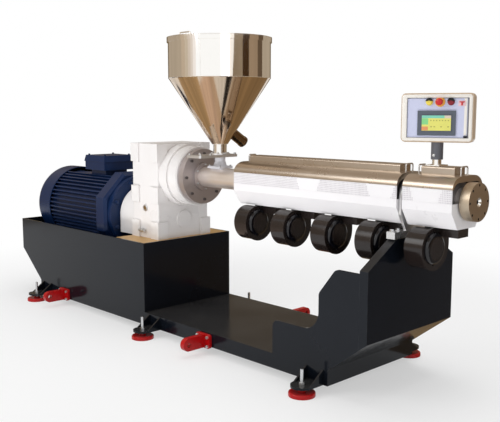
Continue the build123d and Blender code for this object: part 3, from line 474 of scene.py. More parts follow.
class Work:
    """One mesh on the bench, shaped with edit mode operators."""

    def __init__(self, piece: bpy.types.Object) -> None:
        """Take a mesh object in hand."""
        self.piece = piece

    @staticmethod
    def clear() -> None:
        """Leave edit mode and deselect everything."""
        if bpy.context.object is not None and bpy.context.object.mode != "OBJECT":
            bpy.ops.object.mode_set(mode="OBJECT")
        bpy.ops.object.select_all(action="DESELECT")

    @classmethod
    def taken(cls) -> "Work":
        """Take the primitive that was just added, with its place applied to its mesh."""
        bpy.ops.object.transform_apply(location=True, rotation=True, scale=True)
        return cls(bpy.context.object)

    @classmethod
    def block(cls, low: Sequence[float], high: Sequence[float]) -> "Work":
        """Start from a box between two corners.

        Args:
            low: Lowest corner.
            high: Highest corner.

        Returns:
            The box.
        """
        cls.clear()
        low, high = Vector(low), Vector(high)
        bpy.ops.mesh.primitive_cube_add(size=1.0, location=(low + high) / 2, scale=high - low)
        return cls.taken()

    @classmethod
    def prism(cls, sides: int, radius: float, height: float) -> "Work":
        """Start from an upright prism that stands on the origin.

        Args:
            sides: Number of sides.
            radius: Radius of its corners.
            height: Its height.

        Returns:
            The prism.
        """
        cls.clear()
        bpy.ops.mesh.primitive_cylinder_add(vertices=sides, radius=radius, depth=height,
                                            location=(0.0, 0.0, height / 2))
        return cls.taken()

    @classmethod
    def lathe(cls, profile: Sequence[tuple[float, float]], centre: Sequence[float] = (0.0, 0.0, 0.0),
              axis: Axis = Axis.Z, steps: int = 48) -> "Work":
        """Spin a profile about an axis.

        Args:
            profile: Distance along the axis and radius of each corner, in order.
            centre: Point on the axis that the distances start from.
            axis: Direction of the axis.
            steps: Number of sides all round.

        Returns:
            The turned piece.
        """
        cls.clear()
        outward = Axis.X.vector if axis is Axis.Z else Axis.Z.vector
        points = [Vector(centre) + axis.vector * run + outward * radius for run, radius in profile]
        bpy.ops.mesh.primitive_plane_add(size=1.0)
        bpy.ops.object.mode_set(mode="EDIT")
        bpy.ops.mesh.select_mode(type="VERT")
        bpy.ops.mesh.select_all(action="SELECT")
        bpy.ops.mesh.merge(type="CENTER")
        bpy.ops.transform.translate(value=points[0])
        for start, end in zip(points, points[1:]):
            bpy.ops.mesh.extrude_vertices_move(TRANSFORM_OT_translate={"value": end - start})
        bpy.ops.mesh.select_all(action="SELECT")
        bpy.ops.mesh.spin(steps=steps, angle=2 * math.pi, center=Vector(centre), axis=axis.vector)
        bpy.ops.mesh.select_all(action="SELECT")
        bpy.ops.mesh.remove_doubles(threshold=0.01 * MM)
        bpy.ops.mesh.normals_make_consistent(inside=False)
        bpy.ops.object.mode_set(mode="OBJECT")
        return cls(bpy.context.object)

    def hold(self) -> None:
        """Make the piece the only selected and the active object."""
        Work.clear()
        self.piece.select_set(True)
        bpy.context.view_layer.objects.active = self.piece

    def pick(self, kind: str, test: PlaceTest | None) -> None:
        """Open the piece in edit mode and select faces or edges by their place.

        Args:
            kind: FACE or EDGE.
            test: Takes the middle and the normal or direction; none selects all.
        """
        self.hold()
        bpy.ops.object.mode_set(mode="EDIT")
        bpy.ops.mesh.select_mode(type=kind)
        bpy.ops.mesh.select_all(action="SELECT" if test is None else "DESELECT")
        if test is None:
            return
        mesh = bmesh.from_edit_mesh(self.piece.data)
        if kind == "FACE":
            for face in mesh.faces:
                face.select_set(test(face.calc_center_median(), face.normal))
        else:
            for edge in mesh.edges:
                start, end = (vertex.co for vertex in edge.verts)
                edge.select_set(test((start + end) / 2, (end - start).normalized()))
        bmesh.update_edit_mesh(self.piece.data)

    def inset(self, test: PlaceTest | None, thickness: float, depth: float = 0.0) -> "Work":
        """Inset chosen faces.

        Args:
            test: Chooses the faces.
            thickness: Width of the border.
            depth: How far the inset faces move along their normals.

        Returns:
            The piece.
        """
        self.pick("FACE", test)
        bpy.ops.mesh.inset(thickness=thickness, depth=depth)
        bpy.ops.object.mode_set(mode="OBJECT")
        return self

    def extrude(self, test: PlaceTest | None, move: Sequence[float]) -> "Work":
        """Extrude chosen faces by a move.

        Args:
            test: Chooses the faces.
            move: Direction and length of the move.

        Returns:
            The piece.
        """
        self.pick("FACE", test)
        bpy.ops.mesh.extrude_region_move(TRANSFORM_OT_translate={"value": Vector(move)})
        bpy.ops.object.mode_set(mode="OBJECT")
        return self

    def bevel(self, test: PlaceTest | None, width: float, segments: int = 2) -> "Work":
        """Bevel chosen edges.

        Args:
            test: Chooses the edges.
            width: Width of the bevel.
            segments: Number of its segments.

        Returns:
            The piece.
        """
        self.pick("EDGE", test)
        bpy.ops.mesh.bevel(offset=width, segments=segments, affect="EDGES")
        bpy.ops.object.mode_set(mode="OBJECT")
        return self

    def pierce(self, test: PlaceTest, border: float, ease: float) -> "Work":
        """Cut an eight-sided hole in each chosen four-sided face.

        Args:
            test: Chooses the faces.
            border: Width that is left round each hole.
            ease: How far each hole's corners are cut off.

        Returns:
            The piece.
        """
        self.pick("FACE", test)
        bpy.ops.mesh.inset(thickness=border, use_individual=True)
        bpy.ops.mesh.bevel(offset=ease, affect="VERTICES")
        bpy.ops.mesh.select_all(action="DESELECT")
        bpy.ops.mesh.select_face_by_sides(number=8)
        bpy.ops.mesh.delete(type="FACE")
        bpy.ops.object.mode_set(mode="OBJECT")
        return self

    def halve(self, point: Sequence[float], normal: Sequence[float]) -> "Work":
        """Cut the piece by a plane and close it, leaving out the side that the normal looks to.

        Args:
            point: A point on the plane.
            normal: The plane's normal.

        Returns:
            The piece.
        """
        self.pick("FACE", None)
        bpy.ops.mesh.bisect(plane_co=point, plane_no=normal, use_fill=True, clear_outer=True)
        bpy.ops.object.mode_set(mode="OBJECT")
        return self

    def modify(self, kind: str, **settings: object) -> "Work":
        """Add a modifier and apply it.

        Args:
            kind: Blender's name of the modifier's type.
            **settings: Its properties.

        Returns:
            The piece.
        """
        self.hold()
        bpy.ops.object.modifier_add(type=kind)
        modifier = self.piece.modifiers[-1]
        for name, value in settings.items():
            setattr(modifier, name, value)
        bpy.ops.object.modifier_apply(modifier=modifier.name)
        return self

    def cut(self, tool: "Work") -> "Work":
        """Cut another piece's shape out of this one.

        Args:
            tool: The shape that is cut out, and used up.

        Returns:
            The piece.
        """
        self.modify("BOOLEAN", operation="DIFFERENCE", solver="EXACT", object=tool.piece)
        bpy.data.objects.remove(tool.piece)
        return self

    def scatter(self, places: Iterable[Matrix]) -> "Work":
        """Copy the piece to each place and join the copies.

        Args:
            places: Matrices of the copies.

        Returns:
            The joined piece.
        """
        copies = []
        for place in places:
            copy = self.piece.copy()
            copy.data = self.piece.data.copy()
            copy.matrix_world = place
            bpy.context.collection.objects.link(copy)
            copies.append(Work(copy))
        bpy.data.objects.remove(self.piece)
        self.piece = copies[0].piece
        return self.join(copies[1:])

    def join(self, others: Iterable["Work"]) -> "Work":
        """Join other pieces into this one.

        Args:
            others: Pieces that end up in this mesh.

        Returns:
            The piece.
        """
        self.hold()
        for other in others:
            other.piece.select_set(True)
        bpy.ops.object.join()
        bpy.ops.object.transform_apply(location=True, rotation=True, scale=True)
        return self

    def put(self, place: Matrix) -> "Work":
        """Move the piece's mesh to a place.

        Args:
            place: Matrix of the place.

        Returns:
            The piece.
        """
        self.hold()
        self.piece.matrix_world = place
        bpy.ops.object.transform_apply(location=True, rotation=True, scale=True)
        return self

    def finish(self, name: str, finish: Finish, slot: str, body: Body = Body.MACHINE,
               replaces: Sequence[str] = (), smooth: float = 40.0) -> None:
        """Name the piece, give it its finish and let it ride on a body.

        Args:
            name: Name of the piece.
            finish: Its finish.
            slot: The record's material slot; not used.
            body: The body it rides on.
            replaces: Nodes that it stands for.
            smooth: Angle in degrees under which edges are shaded smooth.
        """
        self.hold()
        bpy.ops.object.shade_smooth_by_angle(angle=math.radians(smooth))
        self.piece.name = name
        self.piece.data.name = name
        self.piece.data.materials.clear()
        self.piece.data.materials.append(finish.material())
        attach(self.piece, body.value)
        if replaces:
            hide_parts(*replaces)
        LOG.info("%s: %d faces", name, len(self.piece.data.polygons))


def pair(half: float) -> tuple[float, float]:
    """The two places at one distance from a middle, on both sides of it."""
    return -half, half


def facing(at: Sequence[float], direction: Sequence[float], turn: float = 0.0) -> Matrix:
    """Place that stands a piece on a point with its upright axis along a direction.

    Args:
        at: The point.
        direction: Where the piece's Z axis goes.
        turn: Turn about that axis in degrees.

    Returns:
        The matrix of the place.
    """
    tilt = Vector(UP).rotation_difference(Vector(direction)).to_matrix().to_4x4()
    return Matrix.Translation(Vector(at)) @ tilt @ Matrix.Rotation(math.radians(turn), 4, "Z")


def grid_places(xs: Iterable[float], ys: Sequence[float], z: float, turn: float = 0.0) -> list[Matrix]:
    """Upright places at one height, for each X at each Y."""
    return [facing((x, y, z), UP, turn) for x in xs for y in ys]


def circle_places(centre: Sequence[float], radius: float, count: int, start: float = 0.0) -> list[Matrix]:
    """Places on a circle about a line along X that look to the front.

    Args:
        centre: Middle of the circle.
        radius: Its radius.
        count: Number of places.
        start: Angle of the first one in degrees, from +Y towards +Z.

    Returns:
        One matrix for each place.
    """
    places = []
    for index in range(count):
        angle = math.radians(start + index * 360 / count)
        offset = Vector((0.0, math.cos(angle), math.sin(angle))) * radius
        places.append(facing(Vector(centre) + offset, FRONT))
    return places


def tube(low: float, high: float, inner: float, outer: float) -> list[tuple[float, float]]:
    """Closed profile of a tube between two distances along its axis."""
    return [(low, inner), (low, outer), (high, outer), (high, inner), (low, inner)]


def cap_screw(diameter: float) -> Work:
    """Socket head screw that stands on the origin.

    Args:
        diameter: Diameter of its head.

    Returns:
        The screw's head.
    """
    radius, height = diameter / 2, diameter * 0.62
    edge, wall, socket = radius * 0.12, radius * 0.38, height * 0.5
    head = Work.prism(18, radius, height)
    head.bevel(lambda at, way: at.z > height * 0.9 and abs(way.z) < ACROSS, edge, 1)
    head.inset(lambda at, normal: normal.z > ALONG and at.length < height * 1.1, wall)
    return head.extrude(lambda at, normal: normal.z > ALONG and at.xy.length < radius * 0.05, (0, 0, -socket))


def hex_bolt(diameter: float) -> Work:
    """Hexagon bolt head on a washer, standing on the origin.

    Args:
        diameter: Width of the head over its corners.

    Returns:
        The bolt's head.
    """
    radius, height = diameter / 2, diameter * 0.36
    rim, top = radius * 1.25, height * 0.24
    washer = Work.lathe([(0.0, 0.0), (0.0, rim), (height * 0.18, rim), (top, radius * 1.18), (top, 0.0)], steps=20)
    head = Work.prism(6, radius, height)
    head.inset(lambda at, normal: normal.z > ALONG, radius * 0.14, height * 0.12)
    return head.put(Matrix.Translation((0.0, 0.0, height * 0.2))).join([washer])


class SubAssembly:
    """A group of the machine's nodes and the pieces added to it."""

    nodes: dict[str, Finish] = {}

    def dress(self) -> None:
        """Give each node of the group its finish."""
        for name, finish in self.nodes.items():
            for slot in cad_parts[name].material_slots:
                slot.material = finish.material()
            LOG.info("%s: %s", name, finish.name)

    def build(self) -> None:
        """Model the group's own pieces."""


@dataclass
class Base(SubAssembly):
    """Plate base with its feet and lifting lugs."""

    screw: float = 0.018
    lug_x: tuple[float, float] = (-1.25, 0.34)
    lug_face: float = 0.389
    lug_height: float = 0.078
    screw_spread: tuple[float, float] = (0.044, 0.027)

    nodes = {
        **dict.fromkeys(("near_side_plate", "far_side_plate", "deck_plate", "rear_end_plate", "box_front_plate",
                         "motor_beams", "end_frame", "front_skirt", "foot_brackets"), BLACK_ENAMEL),
        "gearbox_bed_plate": OILED_PLATE,
        "foot_studs": ZINC_PLATE,
        "foot_pads": RED_ENAMEL,
        "lifting_lugs": RED_ENAMEL,
    }

    def build(self) -> None:
        """Screw the lugs to the side plates."""
        wide, high = self.screw_spread
        places = [facing((x + dx, side * self.lug_face, self.lug_height + dz), (0, side, 0))
                  for x in self.lug_x for side in (-1, 1) for dx in pair(wide) for dz in pair(high)]
        cap_screw(self.screw).scatter(places).finish("lug_screws", ZINC_PLATE, "zinc_steel")


@dataclass
class Drive(SubAssembly):
    """Motor, coupling housing and gearbox."""

    axis_height: float = 0.7
    cowl_face: float = -1.790
    grille_radius: float = 0.222
    grille_step: float = 0.018
    grille_hub: float = 0.05
    flange_face: float = -0.790
    flange_circle: float = 0.231
    flange_bolt: float = 0.03
    foot_x: tuple[float, float] = (-1.51, -1.05)
    foot_y: float = 0.2
    foot_top: float = 0.444
    foot_spread: float = 0.041
    foot_bolt: float = 0.024
    box_middle: float = -1.192
    box_side: float = 0.1275
    box_lid_top: float = 1.096
    lid_screw_spread: float = 0.106
    lid_screw: float = 0.014
    gland_height: float = 1.02
    gland_spread: float = 0.06
    gearbox_side: float = -0.213
    glass_at: tuple[float, float] = (-0.445, 0.780)
    cock_at: tuple[float, float] = (-0.472, 0.629)

    nodes = {
        **dict.fromkeys(("motor_frame", "motor_end_shield", "motor_fan_cowl", "motor_terminal_box"), NAVY_CAST),
        **dict.fromkeys(("lantern_housing", "gearbox_housing", "gearbox_shaft_cover"), WHITE_CAST),
    }

    def build(self) -> None:
        """Model the cowl's grille, the bolts, the terminal box's fittings and the gearbox's fittings."""
        self.grille()
        self.bolts()
        self.terminal_box()
        self.gearbox()

    def grille(self) -> None:
        """Round air inlet in the fan cowl: rings on spokes over a dark disc, painted shade of the space behind them.
        """
        centre = (self.cowl_face, 0.0, self.axis_height)
        # Thin black disc on the cowl's face: painted shade behind the grille
        shade_disc = Work.lathe([(-0.0004, 0.0), (-0.0004, self.grille_radius), (-0.0002, self.grille_radius),
                           (-0.0002, 0.0)], centre, Axis.X, 64)
        shade_disc.finish("cowl_painted_shade", BLACK_POLYMER_AND_SHADE, "motor_paint")
        rings = []
        radius = self.grille_radius
        while radius > self.grille_hub:
            rings.append(Work.lathe([(-0.001, radius - 0.003), (-0.005, radius - 0.002), (-0.005, radius + 0.002),
                                     (-0.001, radius + 0.003), (-0.001, radius - 0.003)], centre, Axis.X, 64))
            radius -= self.grille_step
        hub = Work.lathe([(-0.0005, 0.0), (-0.0005, self.grille_hub), (-0.004, 0.047), (-0.006, 0.04), (-0.006, 0.0)],
                         centre, Axis.X, 48)
        spoke = Work.block((0.045, -0.004, 0.0005), (self.grille_radius, 0.004, 0.0065))
        spoke.bevel(None, 0.0012)
        spoke.scatter(facing(centre, REAR, turn) for turn in range(0, 360, 45))
        spoke.join([hub, *rings]).finish("cowl_grille", NAVY_CAST, "motor_paint")

    def bolts(self) -> None:
        """Hexagon bolts of the motor's flange and feet."""
        flange = circle_places((self.flange_face, 0.0, self.axis_height), self.flange_circle, 8, 22.5)
        hex_bolt(self.flange_bolt).scatter(flange).finish("motor_flange_bolts", NAVY_CAST, "motor_paint")
        xs = [x + dx for x in self.foot_x for dx in pair(self.foot_spread)]
        feet = grid_places(xs, pair(self.foot_y), self.foot_top, 15)
        hex_bolt(self.foot_bolt).scatter(feet).finish("motor_foot_bolts", ZINC_PLATE, "zinc_steel")

    def terminal_box(self) -> None:
        """Lid screws and two cable glands with blanking caps on the terminal box."""
        spread = pair(self.lid_screw_spread)
        corners = grid_places([self.box_middle + dx for dx in spread], spread, self.box_lid_top)
        cap_screw(self.lid_screw).scatter(corners).finish("terminal_lid_screws", NAVY_CAST, "motor_paint")
        gland = Work.lathe([(0.0, 0.0), (0.0, 0.021), (0.006, 0.021), (0.006, 0.015), (0.014, 0.015),
                            (0.016, 0.019), (0.030, 0.019), (0.034, 0.013), (0.034, 0.0)], steps=6)
        gland.bevel(lambda at, way: abs(way.z) < ACROSS, 0.0008, 1)
        places = [facing((self.box_middle + dx, self.box_side, self.gland_height), FAR)
                  for dx in pair(self.gland_spread)]
        gland.scatter(places).finish("terminal_glands", BLACK_POLYMER_AND_SHADE, "motor_paint")

    def gearbox(self) -> None:
        """Oil sight glass and drain cock on the near side of the gearbox."""
        place = facing((self.glass_at[0], self.gearbox_side, self.glass_at[1]), NEAR)
        bezel = Work.lathe([(0.0, 0.012), (0.0, 0.022), (0.006, 0.022), (0.009, 0.019), (0.009, 0.013),
                            (0.005, 0.012), (0.0, 0.012)], steps=24)
        bezel.put(place).finish("sight_glass_bezel", ZINC_PLATE, "zinc_steel")
        lens = Work.lathe([(0.0, 0.0), (0.0, 0.0125), (0.005, 0.0125), (0.007, 0.008), (0.0078, 0.0)], steps=24)
        lens.put(place).finish("sight_glass_lens", OIL_GLASS, "zinc_steel")
        x, z = self.cock_at
        stub = Work.lathe([(0.0, 0.0), (0.0, 0.013), (0.004, 0.013), (0.004, 0.008), (0.02, 0.008), (0.02, 0.0)],
                          steps=20)
        stub.put(facing((x, self.gearbox_side, z), NEAR))
        body = Work.lathe([(-0.03, 0.0), (-0.03, 0.009), (-0.012, 0.009), (-0.01, 0.012), (0.012, 0.012),
                           (0.014, 0.009), (0.020, 0.009), (0.022, 0.011), (0.032, 0.011), (0.034, 0.0)],
                          (x, self.gearbox_side - 0.018, z), Axis.X, 16)
        body.join([stub]).finish("drain_cock", ZINC_PLATE, "zinc_steel")


@dataclass
class Barrel(SubAssembly):
    """Barrel with its flange, heaters, support and die flange."""

    axis: tuple[float, float] = (0.0, 1.0)
    flange_face: float = -0.092
    hub_face: float = -0.076
    outer_circle: float = 0.148
    inner_circle: float = 0.079
    heater_start: float = 0.385
    heater_pitch: float = 0.30075
    heater_length: float = 0.2
    heater_radius: float = 0.090
    support_x: float = 1.494
    support_top: float = 0.835
    support_bolts: tuple[float, ...] = (-0.142, -0.092, 0.092, 0.142)
    die_face: float = 1.879
    die_circle: float = 0.080
    die_hole: float = 0.0065
    melt_bore: float = 0.0225
    outer_screw: float = 0.018
    inner_screw: float = 0.013
    support_bolt: float = 0.022
    heaters: int = 5
    clamp_inset: float = 0.04
    hole_shade_depth: float = 0.03
    channel: float = 0.0115
    channel_depth: float = 0.04

    nodes = {
        "barrel_flange": FLANGE_STEEL,
        "barrel_tube": BARREL_STEEL,
        "barrel_heaters": HEATER_METAL,
        "barrel_support": MILLED_STEEL,
        "die_flange": DIE_STEEL,
    }

    def build(self) -> None:
        """Model the flange's screws, the heaters' clamp bands, the support's bolts and the die's holes."""
        outer = circle_places((self.flange_face, *self.axis), self.outer_circle, 8)
        cap_screw(self.outer_screw).scatter(outer).finish("flange_outer_screws", GREY_SCREW, "barrel_steel")
        inner = circle_places((self.hub_face, *self.axis), self.inner_circle, 6, 30)
        cap_screw(self.inner_screw).scatter(inner).finish("flange_inner_screws", ZINC_PLATE, "zinc_steel")
        self.clamps()
        feet = grid_places([self.support_x], self.support_bolts, self.support_top, 15)
        hex_bolt(self.support_bolt).scatter(feet).finish("support_bolts", ZINC_PLATE, "zinc_steel")
        self.die()

    def die(self) -> None:
        """Dark linings in the die flange's holes and in the melt channel, painted shade of their depth, and a
        polished conical seat in the melt bore.
        """
        hole, deep = self.die_hole - 0.0001, -self.hole_shade_depth
        # Dark sleeve and floor in each hole: painted shade
        hole_lining = Work.lathe([(-0.001, hole), (deep, hole), (deep, 0.0), (deep + 0.001, 0.0),
                             (deep + 0.001, hole - 0.0008), (-0.001, hole - 0.0008), (-0.001, hole)],
                            axis=Axis.X, steps=16)
        face = (self.die_face, *self.axis)
        places = [Matrix.Translation(place.translation) for place in circle_places(face, self.die_circle, 8)]
        hole_lining.scatter(places).finish("die_hole_shade", BLACK_OXIDE_AND_SHADE, "barrel_steel")
        bore, narrow, deep = self.melt_bore - 0.0001, self.channel, -self.channel_depth
        seat = Work.lathe([(-0.0015, bore), (-0.0105, narrow), (deep, narrow), (deep, bore), (-0.0015, bore)],
                          face, Axis.X)
        seat.finish("melt_bore_seat", STAINLESS, "barrel_steel")
        # Dark sleeve and floor in the narrow channel behind the seat: painted shade
        channel = Work.lathe([(-0.0112, 0.0114), (deep, 0.0114), (deep, 0.0), (-0.039, 0.0), (-0.039, 0.0104),
                              (-0.0112, 0.0104), (-0.0112, 0.0114)], face, Axis.X)
        channel.finish("melt_channel", BLACK_OXIDE_AND_SHADE, "barrel_steel")

    def clamps(self) -> None:
        """Two clamp bands round each heater shell, with a screw block on top."""
        lip, half = self.heater_radius, 0.008
        band = Work.lathe(tube(-half, half, lip + 0.0004, lip + 0.0016), axis=Axis.X)
        lug = Work.block((-half, -0.009, lip), (half, 0.009, lip + 0.014)).bevel(None, 0.002)
        lug.inset(lambda at, normal: abs(normal.y) > ALONG, 0.003, -0.002)
        places = []
        for index in range(self.heaters):
            start = self.heater_start + index * self.heater_pitch
            for x in (start + self.clamp_inset, start + self.heater_length - self.clamp_inset):
                places.append(Matrix.Translation((x, *self.axis)))
        band.join([lug]).scatter(places).finish("heater_clamps", ZINC_PLATE, "heater_metal")


@dataclass
class Feed(SubAssembly):
    """Feed throat, slide gate and hopper with its lid."""

    centre: float = 0.065
    saddle_top: float = 1.077
    saddle_spread: tuple[float, float] = (0.049, 0.044)
    throat_screw: float = 0.012
    gate_top: float = 1.151
    gate_x: tuple[float, float] = (-0.052, 0.052)
    gate_y: tuple[float, ...] = (-0.206, -0.125, 0.080)
    gate_screw: float = 0.016
    neck: float = 0.043
    neck_rim: float = 0.064
    neck_plate: float = 0.007
    neck_circle: float = 0.052
    neck_bolt: float = 0.012
    foot: float = 0.050
    cone_foot: float = 1.215
    cone_top: float = 1.624
    wall: float = 0.320
    sheet: float = 0.003
    rim: float = 1.866
    seam_top: float = 1.838
    seam_turn: float = -152.2

    nodes = {
        "feed_throat": CAST_STEEL,
        "gate_plate": MILLED_STEEL,
        "hopper_drain": BROWN_TUBE,
        **dict.fromkeys(("hopper_rim", "hopper_lid", "lid_handle"), STAINLESS),
    }

    def build(self) -> None:
        """Roll the hopper's wall and cone, weld them and screw the throat, gate and neck together."""
        self.hopper()
        wide, deep = self.saddle_spread
        saddle = grid_places([self.centre + dx for dx in pair(wide)], pair(deep), self.saddle_top)
        cap_screw(self.throat_screw).scatter(saddle).finish("throat_screws", ZINC_PLATE, "zinc_steel")
        gate = grid_places([self.centre + dx for dx in self.gate_x], self.gate_y, self.gate_top)
        cap_screw(self.gate_screw).scatter(gate).finish("gate_screws", ZINC_PLATE, "zinc_steel")
        top = self.neck_plate
        ring = Work.lathe([(0.0, self.neck), (0.0, self.neck_rim), (top - 0.001, self.neck_rim),
                           (top, self.neck_rim - 0.001), (top, self.neck), (0.0, self.neck)],
                          (self.centre, 0.0, self.gate_top))
        ring.finish("neck_flange", MILLED_STEEL, "throat_steel")
        bolts = []
        for turn in range(0, 360, 60):
            offset = Matrix.Rotation(math.radians(turn), 3, "Z") @ Vector((self.neck_circle, 0.0, 0.0))
            bolts.append(facing(Vector((self.centre, 0.0, self.gate_top + top)) + offset, UP, turn))
        hex_bolt(self.neck_bolt).scatter(bolts).finish("neck_bolts", ZINC_PLATE, "zinc_steel")

    def hopper(self) -> None:
        """Rolled wall, rolled cone with its neck, and the weld beads between them."""
        middle = (self.centre, 0.0, 0.0)
        inner, bore = self.wall - self.sheet, self.neck - self.sheet
        wall = Work.lathe(tube(self.cone_top, self.rim, inner, self.wall), middle, steps=128)
        wall.finish("hopper_wall", STAINLESS, "stainless", replaces=["hopper_shell"])
        cone = Work.lathe([(self.cone_foot, bore), (self.cone_foot, self.foot), (self.cone_top, self.wall),
                           (self.cone_top, inner), (self.cone_foot + self.sheet, self.foot - self.sheet),
                           (self.cone_foot + self.sheet, bore), (self.cone_foot, bore)], middle, steps=128)
        cone.finish("hopper_cone", CONE_STAINLESS, "stainless", replaces=["hopper_shell"])
        neck = Work.lathe(tube(self.gate_top, self.cone_foot, bore, self.neck), middle, steps=64)
        neck.finish("hopper_neck", STAINLESS, "stainless", replaces=["hopper_shell"])
        bead = Work.lathe([(-0.0022, self.wall - 0.001), (0.0, self.wall + 0.0016), (0.0022, self.wall - 0.001)],
                          (self.centre, 0.0, self.cone_top), steps=128)
        foot = Work.lathe([(0.0, self.foot - 0.001), (0.0, self.foot + 0.001), (0.003, self.foot + 0.003),
                           (0.004, self.foot)], (self.centre, 0.0, self.cone_foot), steps=64)
        seam = Work.block((-0.002, self.wall - 0.0006, self.cone_top + 0.003),
                          (0.002, self.wall + 0.0005, self.seam_top))
        seam.bevel(None, 0.0004, 1)
        seam.put(Matrix.Translation(middle) @ Matrix.Rotation(math.radians(self.seam_turn), 4, "Z"))
        bead.join([foot, seam]).finish("hopper_welds", STAINLESS, "stainless")


@dataclass
class Covers(SubAssembly):
    """Troughs and hoods round the barrel."""

    spans: tuple[tuple[float, float], ...] = ((0.340, 1.511), (1.543, 1.818))
    side: float = 0.135
    band: tuple[float, float] = (0.995, 1.061)
    pitch: float = 0.0088
    hole: float = 0.0050
    blanks: tuple[tuple[float, float], ...] = ((0.845, 1.02), (1.325, 1.50), (1.585, 1.765))

    nodes = {
        **dict.fromkeys(("long_trough", "short_trough"), WHITE_COAT),
        **dict.fromkeys(("long_hood", "short_hood"), HOOD_STAINLESS),
        "hood_handles": BRIGHT_ROD,
    }

    def build(self) -> None:
        """Fix a perforated strip over a grey sheet of painted shade along both sides of each trough."""
        for number, (start, end) in enumerate(self.spans, 1):
            for name, side in (("near", -1), ("far", 1)):
                self.hole_shade(f"vent_hole_shade_{number}_{name}", start, end, side)
                self.strip(f"vent_strip_{number}_{name}", start, end, side)

    def hole_shade(self, name: str, start: float, end: float, side: int) -> None:
        """Thin grey sheet behind the holes: painted shade of what shows through them.

        Args:
            name: Name of the piece.
            start: X of its rear end.
            end: X of its front end.
            side: Minus one for the near side.
        """
        ys = sorted((side * (self.side + 0.0001), side * (self.side + 0.0004)))
        back = Work.block((start + 0.003, ys[0], self.band[0] + 0.002), (end - 0.003, ys[1], self.band[1] - 0.002))
        back.bevel(None, 0.0001, 1).finish(name, HOLE_SHADE_SHEET, "white_paint")

    def strip(self, name: str, start: float, end: float, side: int) -> None:
        """Sheet with rows of round holes. The holes are drawn about twice as large as real ones.

        Args:
            name: Name of the piece.
            start: X of its rear end.
            end: X of its front end.
            side: Minus one for the near side.
        """
        length, height = end - start - 0.004, self.band[1] - self.band[0] - 0.001
        columns, rows = round(length / self.pitch), round(height / self.pitch)
        Work.clear()
        bpy.ops.mesh.primitive_grid_add(x_subdivisions=columns, y_subdivisions=rows, size=1.0)
        bpy.context.object.scale = (length, height, 1.0)
        sheet = Work.taken()
        middle, half = (start + end) / 2, height / 2

        def holed(at: Vector, normal: Vector) -> bool:
            """True for a cell that is clear of the blank windows."""
            x, narrow = middle + at.x, (half - at.y) * 0.38
            return not any(low + narrow < x < high - narrow for low, high in self.blanks)

        border = (min(length / columns, height / rows) - self.hole) / 2
        sheet.pierce(holed, border, 0.29 * self.hole)
        sheet.modify("SOLIDIFY", thickness=0.0008, offset=-1.0)
        turn = Matrix.Rotation(math.radians(90), 4, "X")
        if side > 0:
            turn = Matrix.Rotation(math.radians(180), 4, "Z") @ turn
        sheet.put(Matrix.Translation((middle, side * (self.side + 0.0014), self.band[0] + half)) @ turn)
        sheet.finish(name, WHITE_COAT, "white_paint", smooth=20.0)


@dataclass
class Blowers(SubAssembly):
    """Scroll blowers under the covers."""

    backs: float = 0.385
    pitch: float = 0.30075
    count: int = 5
    width: float = 0.105
    axis: tuple[float, float] = (-0.08, 0.768)
    cap_foot: float = 0.078
    cap_face: float = 0.060
    cap_height: float = 0.020
    screw: float = 0.006
    screw_circle: float = 0.083

    nodes = dict.fromkeys([f"blower_{number}" for number in range(1, 6)], BLOWER_ENAMEL)

    def build(self) -> None:
        """Model one round cap over the inlet and copy it to each blower."""
        places = [Matrix.Translation((self.backs + index * self.pitch + self.width, *self.axis))
                  for index in range(self.count)]
        # The rims are blacker than the faces: painted shade on the caps' rounded sides
        self.rim().scatter(places).finish("blower_cap_rims", RIM_SHADE_POLYMER, "blower_paint")
        self.face().scatter(places).finish("blower_cap_faces", BLOWER_ENAMEL, "blower_paint")
        screws = [place @ spot for place in places
                  for spot in circle_places((0.0, 0.0, 0.0), self.screw_circle, 6, 30)]
        cap_screw(self.screw).scatter(screws).finish("blower_screws", BLACK_OXIDE_AND_SHADE, "blower_paint")

    def rim(self) -> Work:
        """Rounded rim of the cap, about the middle of the casing's front.

        Returns:
            The rim.
        """
        wide, high = self.cap_foot - self.cap_face, self.cap_height - 0.004
        profile = [(0.0002, self.cap_foot)]
        for step in range(9):
            angle = math.radians(step * 11.25)
            profile.append((0.004 + high * math.sin(angle), self.cap_face + wide * math.cos(angle)))
        profile += [(self.cap_height - 0.002, self.cap_face), (0.0002, self.cap_face), (0.0002, self.cap_foot)]
        return Work.lathe(profile, axis=Axis.X, steps=56)

    def face(self) -> Work:
        """Flat face of the cap with a shallow ring turned in it.

        Returns:
            The face.
        """
        top, edge = self.cap_height, self.cap_face - 0.0002
        profile = [(0.0002, 0.0), (0.0002, edge), (top - 0.0015, edge), (top - 0.0005, edge - 0.0015),
                   (top - 0.0005, edge - 0.006), (top - 0.002, edge - 0.0065), (top - 0.002, edge - 0.009),
                   (top - 0.0005, edge - 0.0095), (top - 0.0005, 0.0)]
        return Work.lathe(profile, axis=Axis.X, steps=56)


